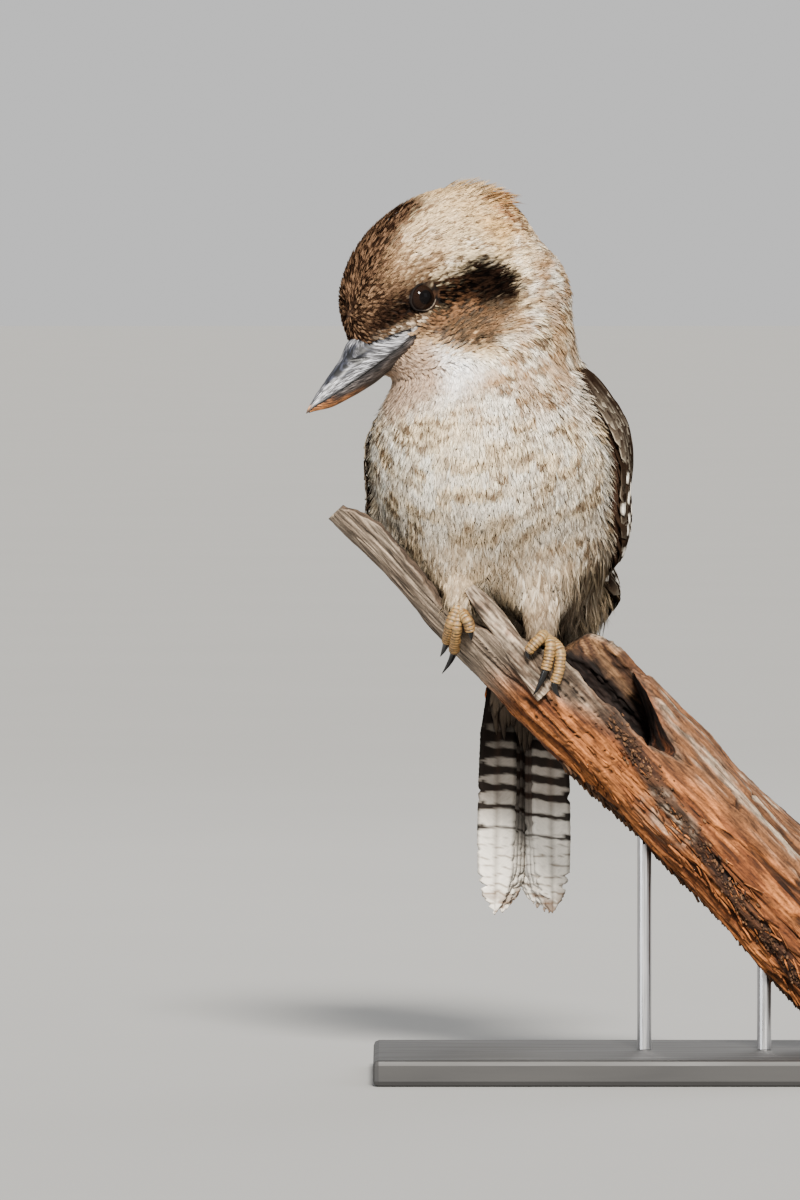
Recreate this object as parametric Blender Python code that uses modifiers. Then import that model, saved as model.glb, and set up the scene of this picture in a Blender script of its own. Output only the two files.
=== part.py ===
"""Laughing kookaburra, life size, perched on a cut length of a broken hollow limb.

The bird faces -Y, its body turned a little to its right, its head turned further and bowed.
A flat base and two rods hold the limb. The origin is the centre of the base's underside.
Lengths are millimetres until a mesh is made; the mesh itself is in metres, +Z up.
"""

import math
import random

import bmesh
import bpy
import numpy as np
from mathutils import Matrix, Vector

MM = 0.001
SEED = 41
GAP = 0.3
UP = np.array([0.0, 0.0, 1.0])

BASE_LENGTH = 204.0
BASE_DEPTH = 156.0
BASE_THICKNESS = 12.0
BASE_CORNER = 2.5
ROD_RADIUS = 3.2
ROD_PLACES = (20.0, 74.0)
ROD_SOCKET = 7.0

BODY_YAW = math.radians(15.0)
BODY_LEAN = math.radians(22.0)
HEAD_YAW = math.radians(60.0)
HEAD_BOW = math.radians(38.0)
EYES_MIDDLE = np.array([-90.9, -10.5, 351.0])
EYEBALL_RADIUS = 7.9
EYE_OFFSET = 17.6
EYE_OPENING = 5.75
BLEND = 3.6

LIMB_START = np.array([-44.1, 0.0, 210.2])
LIMB_SLOPE = math.radians(45.6)
LIMB_RADIUS = 28.0
LIMB_END = 236.0
HOLLOW_END = 88.0


def unit(vector):
    """The vector or vectors at length one."""
    vector = np.asarray(vector, float)
    return vector / np.linalg.norm(vector, axis=-1, keepdims=True)


BODY_LEFT = np.array([math.cos(BODY_YAW), -math.sin(BODY_YAW), 0.0])
BODY_BACK = np.array([math.sin(BODY_YAW), math.cos(BODY_YAW), 0.0])
HEAD_LEVEL = np.array([-math.sin(HEAD_YAW), -math.cos(HEAD_YAW), 0.0])
HEAD_FORWARD = math.cos(HEAD_BOW) * HEAD_LEVEL - math.sin(HEAD_BOW) * UP
HEAD_UP = math.sin(HEAD_BOW) * HEAD_LEVEL + math.cos(HEAD_BOW) * UP
HEAD_LEFT = np.cross(HEAD_UP, HEAD_FORWARD)


def head_point(ahead, above, left):
    """A place given from the middle between the eyes, along the head's own axes."""
    ahead, above, left = (np.asarray(v, float)[..., None] for v in (ahead, above, left))
    return EYES_MIDDLE + ahead * HEAD_FORWARD + above * HEAD_UP + left * HEAD_LEFT


def body_blob(centre, lateral, depth, long, lean=BODY_LEAN):
    """An ellipsoid of the trunk: its centre, its three axes and its half sizes."""
    along = math.cos(lean) * UP - math.sin(lean) * BODY_BACK
    axes = np.stack([BODY_LEFT, np.cross(along, BODY_LEFT), along])
    return np.asarray(centre, float), axes, np.array([lateral, depth, long])


def head_blob(ahead, above, left, lateral, fore, high):
    """An ellipsoid of the head, placed and turned with the head."""
    axes = np.stack([HEAD_LEFT, HEAD_FORWARD, HEAD_UP])
    return head_point(ahead, above, left), axes, np.array([lateral, fore, high])


BLOBS = (
    body_blob((-49.0, 0.0, 277.0), 54.5, 46.0, 56.0),
    body_blob((-47.5, 15.0, 247.0), 54.0, 40.0, 41.0),
    body_blob((-36.5, 27.0, 284.0), 44.5, 33.5, 54.0),
    body_blob((-33.5, 44.0, 217.0), 38.0, 23.0, 31.0),
    body_blob((-33.5, 56.0, 194.0), 22.0, 15.0, 30.0),
    body_blob((-62.5, -9.0, 231.0), 15.0, 13.0, 18.0, 0.0),
    body_blob((-27.0, -8.0, 219.0), 15.0, 13.0, 18.0, 0.0),
    body_blob((-50.0, 0.0, 325.0), 39.0, 38.0, 36.0),
    body_blob((-40.0, 4.0, 350.0), 27.0, 30.0, 30.0),
    head_blob(-18.0, 0.5, 0.0, 31.5, 46.0, 31.0),
    head_blob(-42.0, -9.0, 0.0, 30.0, 29.0, 26.0),
    head_blob(10.0, -9.0, 0.0, 16.0, 21.0, 11.0),
    head_blob(0.0, -18.0, 0.0, 22.0, 28.0, 12.0),
)
EYE_HOLLOWS = (head_point(1.0, 0.0, 27.0), head_point(1.0, 0.0, -27.0))
EYE_HOLLOW_DEPTH = 7.5
EYE_HOLLOW_WIDTH = 9.0
BLOB_CENTRES = np.stack([blob[0] for blob in BLOBS])
BLOB_AXES = np.stack([blob[1] for blob in BLOBS])
BLOB_SIZES = np.stack([blob[2] for blob in BLOBS])


def flesh_distance(points):
    """Signed distance, nearly, to the softly joined ellipsoids; below zero is inside."""
    offset = points[..., None, :] - BLOB_CENTRES
    local = np.einsum("kij,...kj->...ki", BLOB_AXES, offset)
    near = np.linalg.norm(local / BLOB_SIZES, axis=-1)
    slope = np.linalg.norm(local / BLOB_SIZES**2, axis=-1)
    distance = near * (near - 1.0) / np.maximum(slope, 1e-9)
    joined = -BLEND * np.log(np.exp(-distance / BLEND).sum(axis=-1))
    for centre in EYE_HOLLOWS:
        away = np.linalg.norm(points - centre, axis=-1)
        joined = joined + EYE_HOLLOW_DEPTH * np.exp(-0.5 * (away / EYE_HOLLOW_WIDTH) ** 2)
    return joined


def flesh_radius(centre, direction, reach=110.0):
    """How far along each direction the surface lies, found by halving the span."""
    low = np.zeros(direction.shape[:-1])
    high = np.full(direction.shape[:-1], reach)
    for _ in range(26):
        middle = 0.5 * (low + high)
        inside = flesh_distance(centre + middle[..., None] * direction) < 0.0
        low = np.where(inside, middle, low)
        high = np.where(inside, high, middle)
    return 0.5 * (low + high)


HEAD_FLOOR = -26.0
HEAD_MIDDLE = -24.0
SPINE = (
    ((-34.0, 80.0, 140.0), (0.0, -0.38, 0.92), BODY_LEFT),
    ((-33.5, 58.0, 190.0), (0.0, -0.38, 0.92), BODY_LEFT),
    ((-39.0, 30.0, 222.0), (0.0, -0.38, 0.92), BODY_LEFT),
    ((-44.0, 14.0, 250.0), (0.0, -0.28, 0.96), BODY_LEFT),
    ((-46.0, 8.0, 282.0), (-0.04, -0.15, 0.98), BODY_LEFT),
    ((-49.0, 2.0, 319.0), (-0.2, -0.1, 0.97), unit(BODY_LEFT + 0.3 * HEAD_LEFT)),
    (head_point(HEAD_MIDDLE, HEAD_FLOOR, 0.0), HEAD_UP, HEAD_LEFT),
)
SPINE_CENTRES = np.stack([np.asarray(row[0], float) for row in SPINE])
SPINE_NORMALS = np.stack([unit(row[1]) for row in SPINE])
SPINE_LEFTS = np.stack([unit(row[2]) for row in SPINE])
TAIL_CUT = 0.0
NECK_CUT = 4.0
HEAD_CUT = 5.0
TORSO_RINGS = 15
NECK_RINGS = 7
TRUNK_SIDES = 30
HEAD_RINGS = 12
HEAD_SIDES = 32


def smooth_row(rows, place):
    """A Catmull-Rom curve through evenly numbered rows, read at any place along them."""
    place = np.asarray(place, float)
    last = len(rows) - 1
    low = np.clip(np.floor(place).astype(int), 0, last - 1)
    part = (place - low)[..., None]
    before = rows[np.clip(low - 1, 0, last)]
    here = rows[low]
    there = rows[low + 1]
    after = rows[np.clip(low + 2, 0, last)]
    rise = 0.5 * (there - before)
    fall = 0.5 * (after - here)
    cube = 2.0 * (here - there) + rise + fall
    square = 3.0 * (there - here) - 2.0 * rise - fall
    return here + part * (rise + part * (square + part * cube))


def spine_frame(place):
    """Centre, left and back directions of the body's cross-section at a spine place."""
    row = np.asarray(place, float) + 1.0
    centre = smooth_row(SPINE_CENTRES, row)
    normal = unit(smooth_row(SPINE_NORMALS, row))
    left = smooth_row(SPINE_LEFTS, row)
    left = unit(left - (left * normal).sum(-1, keepdims=True) * normal)
    return centre, left, np.cross(normal, left), normal


def spine_ray(place, angle):
    """Centre and outward direction at a spine place and an angle, 0 left and 90 back."""
    place, angle = np.broadcast_arrays(place, np.radians(angle))
    centre, left, back, normal = spine_frame(place)
    direction = np.cos(angle)[..., None] * left + np.sin(angle)[..., None] * back
    return centre, direction, normal


def trunk_rings(first, last, rings, segments):
    """Rings of the trunk between two spine cuts, each end drawn in by half a gap."""
    places = np.linspace(first, last, rings)
    angles = np.arange(segments) * 360.0 / segments
    centre, direction, normal = spine_ray(places[:, None], angles[None, :])
    shift = np.zeros(rings)
    shift[0] = 0.5 * GAP
    shift[-1] = -0.5 * GAP
    centre = centre + shift[:, None, None] * normal
    return centre + flesh_radius(centre, direction)[..., None] * direction


def head_rings(rings, segments):
    """Rings of the head from the neck cut up to its crown, closing on one point."""
    crown = head_point(HEAD_MIDDLE, 0.0, 0.0)
    top = float(flesh_radius(crown, HEAD_UP))
    steps = np.sin(np.linspace(0.0, 0.5 * np.pi, rings))
    floor = HEAD_FLOOR + 0.5 * GAP
    heights = floor + (top - 0.05 - floor) * steps
    angles = np.radians(np.arange(segments) * 360.0 / segments)
    back = np.cross(HEAD_UP, HEAD_LEFT)
    direction = np.cos(angles)[:, None] * HEAD_LEFT + np.sin(angles)[:, None] * back
    centre = head_point(np.full(rings, HEAD_MIDDLE), heights, np.zeros(rings))[:, None, :]
    centre, direction = np.broadcast_arrays(centre, direction[None, :, :])
    return centre + flesh_radius(centre, direction)[..., None] * direction


def new_collection(name):
    """A collection linked to the scene."""
    collection = bpy.data.collections.new(name)
    bpy.context.scene.collection.children.link(collection)
    return collection


def new_material(name, colour, roughness, metallic=0.0):
    """A Principled BSDF material with a plain colour."""
    material = bpy.data.materials.new(name)
    material.use_nodes = True
    shader = material.node_tree.nodes["Principled BSDF"]
    shader.inputs["Base Color"].default_value = (*colour, 1.0)
    shader.inputs["Roughness"].default_value = roughness
    shader.inputs["Metallic"].default_value = metallic
    return material


def make_object(name, mesh, collection, material=None):
    """An object for a mesh, linked to a collection, with its material."""
    item = bpy.data.objects.new(name, mesh)
    collection.objects.link(item)
    if material is not None:
        item.data.materials.clear()
        item.data.materials.append(material)
    return item


def loft(name, rings, collection, material=None, smooth=True):
    """A closed surface through rings of points in millimetres, its ends filled flat."""
    rings = np.asarray(rings, float)
    count, around = rings.shape[:2]
    shell = bmesh.new()
    grid = [[shell.verts.new(Vector(p) * MM) for p in ring] for ring in rings]
    for low, high in zip(grid[:-1], grid[1:]):
        for j in range(around):
            k = (j + 1) % around
            shell.faces.new((low[j], low[k], high[k]))
            shell.faces.new((low[j], high[k], high[j]))
    for ring, points in ((grid[0], rings[0]), (grid[-1], rings[-1])):
        hub = shell.verts.new(Vector(points.mean(axis=0)) * MM)
        for j in range(around):
            shell.faces.new((ring[j], ring[(j + 1) % around], hub))
    bmesh.ops.recalc_face_normals(shell, faces=shell.faces)
    mesh = bpy.data.meshes.new(name)
    shell.to_mesh(mesh)
    shell.free()
    if smooth:
        mesh.shade_smooth()
    return make_object(name, mesh, collection, material)


def plate(name, path, outward, widths, thicknesses, collection):
    """A flat tapered feather along a path: a four-cornered section at each station."""
    path = np.asarray(path, float)
    tangent = unit(np.gradient(path, axis=0))
    outward = unit(outward - (outward * tangent).sum(-1, keepdims=True) * tangent)
    side = np.cross(tangent, outward)
    half_width = 0.5 * np.asarray(widths, float)[:, None] * side
    half_depth = 0.5 * np.asarray(thicknesses, float)[:, None] * outward
    corners = (
        path + half_width + half_depth,
        path - half_width + half_depth,
        path - half_width - half_depth,
        path + half_width - half_depth,
    )
    shell = bmesh.new()
    rings = [[shell.verts.new(Vector(p) * MM) for p in ring] for ring in np.stack(corners, 1)]
    for low, high in zip(rings[:-1], rings[1:]):
        shell.faces.new((low[0], low[1], high[1]))
        shell.faces.new((low[0], high[1], high[0]))
        shell.faces.new((low[3], high[2], low[2]))
        shell.faces.new((low[3], high[3], high[2]))
        for j, k in ((1, 2), (3, 0)):
            shell.faces.new((low[j], low[k], high[k]))
            shell.faces.new((low[j], high[k], high[j]))
    shell.faces.new(rings[0][::-1])
    shell.faces.new(rings[-1])
    bmesh.ops.recalc_face_normals(shell, faces=shell.faces)
    mesh = bpy.data.meshes.new(name)
    shell.to_mesh(mesh)
    shell.free()
    return make_object(name, mesh, collection)


def tube(name, points, radii, collection, material=None, resolution=2):
    """A tapering round bar: a curve with a bevel and filled caps, made into a mesh."""
    curve = bpy.data.curves.new(name, "CURVE")
    curve.dimensions = "3D"
    curve.bevel_depth = MM
    curve.bevel_resolution = resolution
    curve.use_fill_caps = True
    spline = curve.splines.new("POLY")
    spline.points.add(len(points) - 1)
    for knot, point, radius in zip(spline.points, points, radii):
        knot.co = (*(float(v) * MM for v in point), 1.0)
        knot.radius = float(radius)
    drawn = make_object(name + "_line", curve, collection)
    bpy.context.view_layer.update()
    solid = bpy.data.meshes.new_from_object(
        drawn.evaluated_get(bpy.context.evaluated_depsgraph_get())
    )
    bpy.data.objects.remove(drawn)
    weld(solid)
    solid.name = name
    return make_object(name, solid, collection, material)


def weld(mesh, distance=0.00001):
    """Join the loose points of a mesh and turn its faces outward."""
    shell = bmesh.new()
    shell.from_mesh(mesh)
    bmesh.ops.remove_doubles(shell, verts=shell.verts, dist=distance)
    bmesh.ops.recalc_face_normals(shell, faces=shell.faces)
    shell.to_mesh(mesh)
    shell.free()


def ball(name, centre, radii, collection, material=None, segments=16, rings=10, turn=None):
    """An ellipsoid from a UV sphere, its pole along the turn's third axis."""
    shell = bmesh.new()
    bmesh.ops.create_uvsphere(shell, u_segments=segments, v_segments=rings, radius=1.0)
    mesh = bpy.data.meshes.new(name)
    scale = Matrix.Diagonal((*(r * MM for r in radii), 1.0))
    turned = Matrix.Identity(4) if turn is None else Matrix(turn).transposed().to_4x4()
    bmesh.ops.transform(shell, matrix=turned @ scale, verts=shell.verts)
    bmesh.ops.translate(shell, vec=Vector(centre) * MM, verts=shell.verts)
    shell.to_mesh(mesh)
    shell.free()
    mesh.shade_smooth()
    return make_object(name, mesh, collection, material)


def settle(item):
    """Apply an object's modifiers to its mesh."""
    bpy.context.view_layer.update()
    solid = bpy.data.meshes.new_from_object(
        item.evaluated_get(bpy.context.evaluated_depsgraph_get())
    )
    item.modifiers.clear()
    item.data = solid
    keep_largest(solid)


def keep_largest(mesh):
    """Keep only the closed surface of a mesh that reaches furthest."""
    shell = bmesh.new()
    shell.from_mesh(mesh)
    left = set(shell.verts)
    groups = []
    while left:
        start = left.pop()
        group = {start}
        front = [start]
        while front:
            for edge in front.pop().link_edges:
                for vert in edge.verts:
                    if vert not in group:
                        group.add(vert)
                        front.append(vert)
        left -= group
        groups.append(group)
    if len(groups) > 1:
        largest = max(groups, key=spread)
        loose = [v for v in shell.verts if v not in largest]
        bmesh.ops.delete(shell, geom=loose, context="VERTS")
    shell.to_mesh(mesh)
    shell.free()


def spread(verts):
    """The diagonal of the box around some points."""
    places = np.array([vert.co for vert in verts])
    return float(np.linalg.norm(places.max(0) - places.min(0)))


def combine(item, others, operation="UNION", solver="EXACT"):
    """Join, or cut, an object with every object of a collection, then remove them."""
    joint = item.modifiers.new(operation.lower(), "BOOLEAN")
    joint.operation = operation
    joint.operand_type = "COLLECTION"
    joint.collection = others
    joint.solver = solver
    settle(item)
    for other in list(others.objects):
        bpy.data.objects.remove(other)
    bpy.data.collections.remove(others)


def make_trunk(collection, plumage):
    """The torso and the neck, cut square to the spine where they meet."""
    torso = loft("torso", trunk_rings(TAIL_CUT, NECK_CUT, TORSO_RINGS, TRUNK_SIDES), collection, plumage)
    neck = loft("neck", trunk_rings(NECK_CUT, HEAD_CUT, NECK_RINGS, TRUNK_SIDES), collection, plumage)
    return torso, neck


BILL_AHEAD = np.array([6.0, 17.0, 25.0, 32.0, 39.0, 45.0, 56.0, 65.0, 69.2])
BILL_TOP = np.array([-6.0, -3.5, -1.4, -0.75, -3.7, -5.1, -7.5, -9.9, -11.6])
BILL_MOUTH = np.array([-12.2, -13.6, -13.7, -13.7, -13.7, -13.6, -12.7, -11.6, -12.0])
BILL_HALF = np.array([13.5, 12.0, 9.6, 8.4, 7.2, 5.8, 3.6, 1.7, 0.35])
CHIN_AHEAD = np.array([6.0, 17.0, 31.0, 40.0, 47.0, 57.0, 65.0, 68.0])
CHIN_LOW = np.array([-19.5, -21.0, -22.5, -21.6, -20.2, -17.8, -13.9, -12.6])
CHIN_HALF = np.array([12.0, 10.8, 7.8, 6.4, 5.0, 3.0, 1.3, 0.5])
NOSTRIL_AHEAD = 36.5
NOSTRIL_ABOVE = -6.8
NOSTRIL_LEFT = 6.9
NOSTRIL_RISE = 0.4
NOSTRIL_SIZES = (2.2, 1.5, 0.6)


def bill_section(top, mouth, half, grow):
    """The upper bill's section: a ridged roof over a flat mouth edge, as left and height."""
    roof = top + grow
    edge = mouth - grow
    wide = half + grow
    tall = roof - edge
    side = ((1.0, 0.0), (0.97, 0.22), (0.8, 0.62), (0.42, 0.92))
    right = [(wide * s, edge + tall * h) for s, h in side]
    return right + [(0.0, roof)] + [(-s, h) for s, h in right[::-1]]


def chin_section(mouth, low, half, grow):
    """The lower bill's section: flat above, a rounded keel below."""
    edge = mouth + grow
    keel = low - grow
    wide = half + grow
    tall = edge - keel
    side = ((1.0, 1.0), (0.96, 0.7), (0.7, 0.28), (0.34, 0.04))
    right = [(wide * s, keel + tall * h) for s, h in side]
    return right + [(0.0, keel)] + [(-s, h) for s, h in right[::-1]]


def bill_rings(grow=0.0):
    """Sections of the upper bill from inside the face to its tip."""
    rings = []
    for ahead, top, mouth, half in zip(BILL_AHEAD, BILL_TOP, BILL_MOUTH, BILL_HALF):
        places = bill_section(top, mouth, half, grow)
        shift = grow if ahead > BILL_AHEAD[0] else -grow
        rings.append([head_point(ahead + shift, u, l) for l, u in places])
    return np.array(rings)


def chin_rings(grow=0.0):
    """Sections of the lower bill, its mouth edge one gap below the upper bill's."""
    mouths = np.interp(CHIN_AHEAD, BILL_AHEAD, BILL_MOUTH) - GAP
    rings = []
    for ahead, mouth, low, half in zip(CHIN_AHEAD, mouths, CHIN_LOW, CHIN_HALF):
        places = chin_section(mouth, min(low, mouth - 0.4), half, grow)
        shift = grow if ahead > CHIN_AHEAD[0] else -grow
        rings.append([head_point(ahead + shift, u, l) for l, u in places])
    return np.array(rings)


def make_bill(collection, horn):
    """The two halves of the bill, with a slit nostril on each side of the upper one."""
    upper = loft("bill_upper", bill_rings(), collection, horn)
    lower = loft("bill_lower", chin_rings(), collection, horn)
    slits = new_collection("nostrils")
    along = unit(HEAD_FORWARD + NOSTRIL_RISE * HEAD_UP)
    turn = np.stack([along, HEAD_LEFT, np.cross(along, HEAD_LEFT)])
    for left in (-1.0, 1.0):
        centre = head_point(NOSTRIL_AHEAD, NOSTRIL_ABOVE, NOSTRIL_LEFT * left)
        ball("nostril", centre, NOSTRIL_SIZES, slits, segments=10, rings=6, turn=turn)
    combine(upper, slits, "DIFFERENCE")
    return upper, lower


CREST_ROWS = 4
CREST_COUNT = 4
CREST_START = 4.0
CREST_STEP = 21.0
CREST_ARC = 31.0
CREST_SPREAD = 20.0
CREST_ROOT = -2.2
CREST_LIFT = 0.4
CREST_WIDTHS = np.array([5.4, 7.4, 7.0, 4.6, 1.4])
CREST_DEPTHS = np.array([1.4, 1.2, 1.0, 0.8, 0.5])
CREST_MIDDLE = head_point(-24.0, -2.0, 0.0)


def crest_locks(collection, rng):
    """Flat tapered locks of the hind crown, in staggered rows, their tips a little raised."""
    along = np.linspace(0.0, 1.0, len(CREST_WIDTHS))
    level = CREST_ROOT + (CREST_LIFT - CREST_ROOT) * along**0.8
    for row in range(CREST_ROWS):
        for step in range(CREST_COUNT):
            place = step - 0.5 * (CREST_COUNT - 1) + 0.5 * (row % 2) - 0.25
            aside = math.radians(CREST_SPREAD * place)
            start = CREST_START + CREST_STEP * row + rng.uniform(-3.0, 3.0)
            bend = np.radians(start + CREST_ARC * rng.uniform(0.9, 1.1) * along)
            over = np.cos(bend)[:, None] * HEAD_UP - np.sin(bend)[:, None] * HEAD_FORWARD
            outward = math.cos(aside) * over + math.sin(aside) * HEAD_LEFT
            centre = np.broadcast_to(CREST_MIDDLE, outward.shape)
            path = centre + (flesh_radius(centre, outward) + level)[:, None] * outward
            plate("lock", path, outward + 0.1 * HEAD_LEFT, CREST_WIDTHS, CREST_DEPTHS, collection)


def make_head(collection, plumage, rng):
    """The head with its lids and crest, cut out for the eyeballs and the bill."""
    head = loft("head", head_rings(HEAD_RINGS, HEAD_SIDES), collection, plumage)
    added = new_collection("head_additions")
    crest_locks(added, rng)
    for side in (-1.0, 1.0):
        lid_ring("lid", side, added)
    combine(head, added)
    cuts = new_collection("head_cuts")
    for side in (-1.0, 1.0):
        centre = head_point(0.0, 0.0, side * EYE_OFFSET)
        ball("socket", centre, (EYEBALL_RADIUS + GAP,) * 3, cuts, segments=16, rings=10, turn=eye_turn())
    loft("bill_socket", bill_rings(GAP), cuts)
    loft("chin_socket", chin_rings(GAP), cuts)
    combine(head, cuts, "DIFFERENCE")
    return head


def eye_turn():
    """Axes for an eyeball: its pole looks out of the side of the head."""
    return np.stack([HEAD_UP, HEAD_FORWARD, HEAD_LEFT])


LID_STEPS = 16
LID_SIDES = 5
LID_INSET = 22.9
LID_OVER = 0.75
LID_WIDE = 1.0
LID_THICK = 1.15


def lid_ring(name, side, collection):
    """A narrow ring of lid around the opening of an eye."""
    turns = np.arange(LID_STEPS) * 2.0 * np.pi / LID_STEPS
    rings = []
    for turn in turns:
        out = np.array([math.cos(turn), math.sin(turn)])
        ring = []
        for point in np.arange(LID_SIDES) * 2.0 * np.pi / LID_SIDES:
            radius = EYE_OPENING + LID_OVER + LID_WIDE * math.cos(point)
            lift = LID_INSET + LID_THICK * math.sin(point)
            ring.append(head_point(out[0] * radius, out[1] * radius, side * lift))
        rings.append(ring)
    shell = bmesh.new()
    grid = [[shell.verts.new(Vector(p) * MM) for p in ring] for ring in rings]
    for i, low in enumerate(grid):
        high = grid[(i + 1) % len(grid)]
        for j in range(LID_SIDES):
            k = (j + 1) % LID_SIDES
            shell.faces.new((low[j], low[k], high[k], high[j]))
    bmesh.ops.recalc_face_normals(shell, faces=shell.faces)
    mesh = bpy.data.meshes.new(name)
    shell.to_mesh(mesh)
    shell.free()
    return make_object(name, mesh, collection)


def make_eyes(collection, gloss):
    """The two eyeballs."""
    for name, side in (("eye_left", 1.0), ("eye_right", -1.0)):
        centre = head_point(0.0, 0.0, side * EYE_OFFSET)
        ball(name, centre, (EYEBALL_RADIUS,) * 3, collection, gloss, 16, 10, eye_turn())


def limb_point(along, across, depth):
    """A place on the limb: along its axis, across it towards the upper right, and in depth."""
    axis = np.array([math.cos(LIMB_SLOPE), 0.0, -math.sin(LIMB_SLOPE)])
    rise = np.array([math.sin(LIMB_SLOPE), 0.0, math.cos(LIMB_SLOPE)])
    along, across, depth = (np.asarray(v, float)[..., None] for v in (along, across, depth))
    return LIMB_START + along * axis + across * rise + depth * np.array([0.0, 1.0, 0.0])


def limb_round(along, angle, radius):
    """A place by its angle round the limb: 0 below, 90 in front, 180 above, -90 behind."""
    turn = np.radians(angle)
    return limb_point(along, -radius * np.cos(turn), -radius * np.sin(turn))


def limb_grain(along, angle):
    """Long low ridges of the weathered wood, in millimetres."""
    turn = np.radians(angle)
    ridge = 0.9 * np.sin(7.0 * turn + 0.03 * along) + 0.6 * np.sin(11.0 * turn - 0.021 * along + 1.0)
    swell = 1.2 * np.sin(0.035 * along + 2.0 * turn) + 0.7 * np.sin(0.09 * along + 3.0 * turn + 2.0)
    flat = 1.0 - np.cos(turn)
    return 0.6 * ridge + 0.7 * swell - 0.6 * flat


LIMB_RINGS = 9
LIMB_SIDES = 26
WALL_STEPS = 12
WALL_ALONG = np.array([-84.0, -66.0, -46.0, -22.0, -8.0, 6.0, 16.0, 28.0, 35.0, 46.0, 64.0, 84.0, 102.0])
WALL_FRONT = np.array([42.0, 62.0, 58.0, 47.0, 51.0, 72.0, 86.0, 95.0, 99.0, 100.0, 100.0, 100.0, 100.0])
WALL_BACK = np.array([8.0, 8.0, 7.0, 4.0, -6.0, -24.0, -44.0, -66.0, -138.0, -158.0, -160.0, -158.0, -156.0])
WALL_THICK = np.array([4.5, 6.5, 7.0, 7.5, 8.5, 9.5, 10.0, 10.0, 9.5, 9.5, 10.0, 11.0, 12.0])


def make_perch(collection, wood):
    """The limb: a solid lower length, a broken hollow shell above it and a raised splinter."""
    rows = np.linspace(HOLLOW_END, LIMB_END, LIMB_RINGS)
    angles = np.arange(LIMB_SIDES) * 360.0 / LIMB_SIDES
    along, angle = np.meshgrid(rows, angles, indexing="ij")
    along[0] += 3.5 * np.sin(np.radians(3.0 * angles)) + 2.0 * np.sin(np.radians(7.0 * angles))
    perch = loft("perch", limb_round(along, angle, LIMB_RADIUS + limb_grain(along, angle)), collection, wood)
    added = new_collection("limb_additions")
    rings = []
    for place, front, back, thick in zip(WALL_ALONG, WALL_FRONT, WALL_BACK, WALL_THICK):
        arc = np.linspace(back, front, WALL_STEPS)
        sunk = 0.8 if place > HOLLOW_END else 0.0
        outer = LIMB_RADIUS - sunk + limb_grain(place, arc)
        inner = outer - thick
        ring = np.concatenate([limb_round(place, arc, outer), limb_round(place, arc[::-1], inner[::-1])])
        rings.append(ring)
    loft("shell", np.array(rings), added)
    splinter("splinter", added)
    combine(perch, added)
    holes = new_collection("rod_sockets")
    for place in ROD_PLACES:
        rod("socket", place, 0.0, GAP, holes)
    combine(perch, holes, "DIFFERENCE")
    return perch


def splinter(name, collection):
    """The flat splinter that stands up between the bird's feet."""
    along = np.array([-18.0, -6.0, 8.0, 22.0, 40.0])
    middle = np.array([-3.5, -4.2, -6.0, -9.0, -13.0])
    half = np.array([2.6, 4.6, 5.0, 5.0, 4.0])
    front = np.array([-25.5, -27.0, -28.0, -28.5, -27.0])
    back = np.array([-22.5, -21.0, -20.5, -20.0, -19.0])
    rings = []
    for q, b, h, f, k in zip(along, middle, half, front, back):
        corners = ((b - h, f + 1.0), (b - 0.3 * h, f), (b + h, f + 0.4), (b + h, k), (b - h, k))
        rings.append([limb_point(q, across, depth) for across, depth in corners])
    return loft(name, np.array(rings), collection)


def limb_underside(place):
    """How high the limb's lower edge is above the floor at a distance along X."""
    along = (place - LIMB_START[0] + LIMB_RADIUS * math.sin(LIMB_SLOPE)) / math.cos(LIMB_SLOPE)
    return float(limb_point(along, -LIMB_RADIUS, 0.0)[2])


def rod(name, place, low, grow, collection, material=None):
    """A round upright from a height up into its socket in the limb."""
    top = limb_underside(place) + ROD_SOCKET + grow
    shell = bmesh.new()
    bmesh.ops.create_cone(
        shell,
        cap_ends=True,
        segments=20,
        radius1=(ROD_RADIUS + grow) * MM,
        radius2=(ROD_RADIUS + grow) * MM,
        depth=(top - low) * MM,
    )
    bmesh.ops.translate(shell, vec=Vector((place, 0.0, 0.5 * (top + low))) * MM, verts=shell.verts)
    mesh = bpy.data.meshes.new(name)
    shell.to_mesh(mesh)
    shell.free()
    return make_object(name, mesh, collection, material)


def make_stand(collection, metal, board):
    """The base board and the two rods that hold the limb."""
    shell = bmesh.new()
    bmesh.ops.create_cube(shell, size=1.0)
    sizes = Vector((BASE_LENGTH, BASE_DEPTH, BASE_THICKNESS)) * MM
    bmesh.ops.scale(shell, vec=sizes, verts=shell.verts)
    bmesh.ops.translate(shell, vec=(0.0, 0.0, 0.5 * sizes.z), verts=shell.verts)
    mesh = bpy.data.meshes.new("stand_base")
    shell.to_mesh(mesh)
    shell.free()
    base = make_object("stand_base", mesh, collection, board)
    edge = base.modifiers.new("edge", "BEVEL")
    edge.width = BASE_CORNER * MM
    edge.segments = 2
    for number, place in enumerate(ROD_PLACES, 1):
        rod(f"stand_rod_{number}", place, BASE_THICKNESS + GAP, 0.0, collection, metal)


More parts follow.
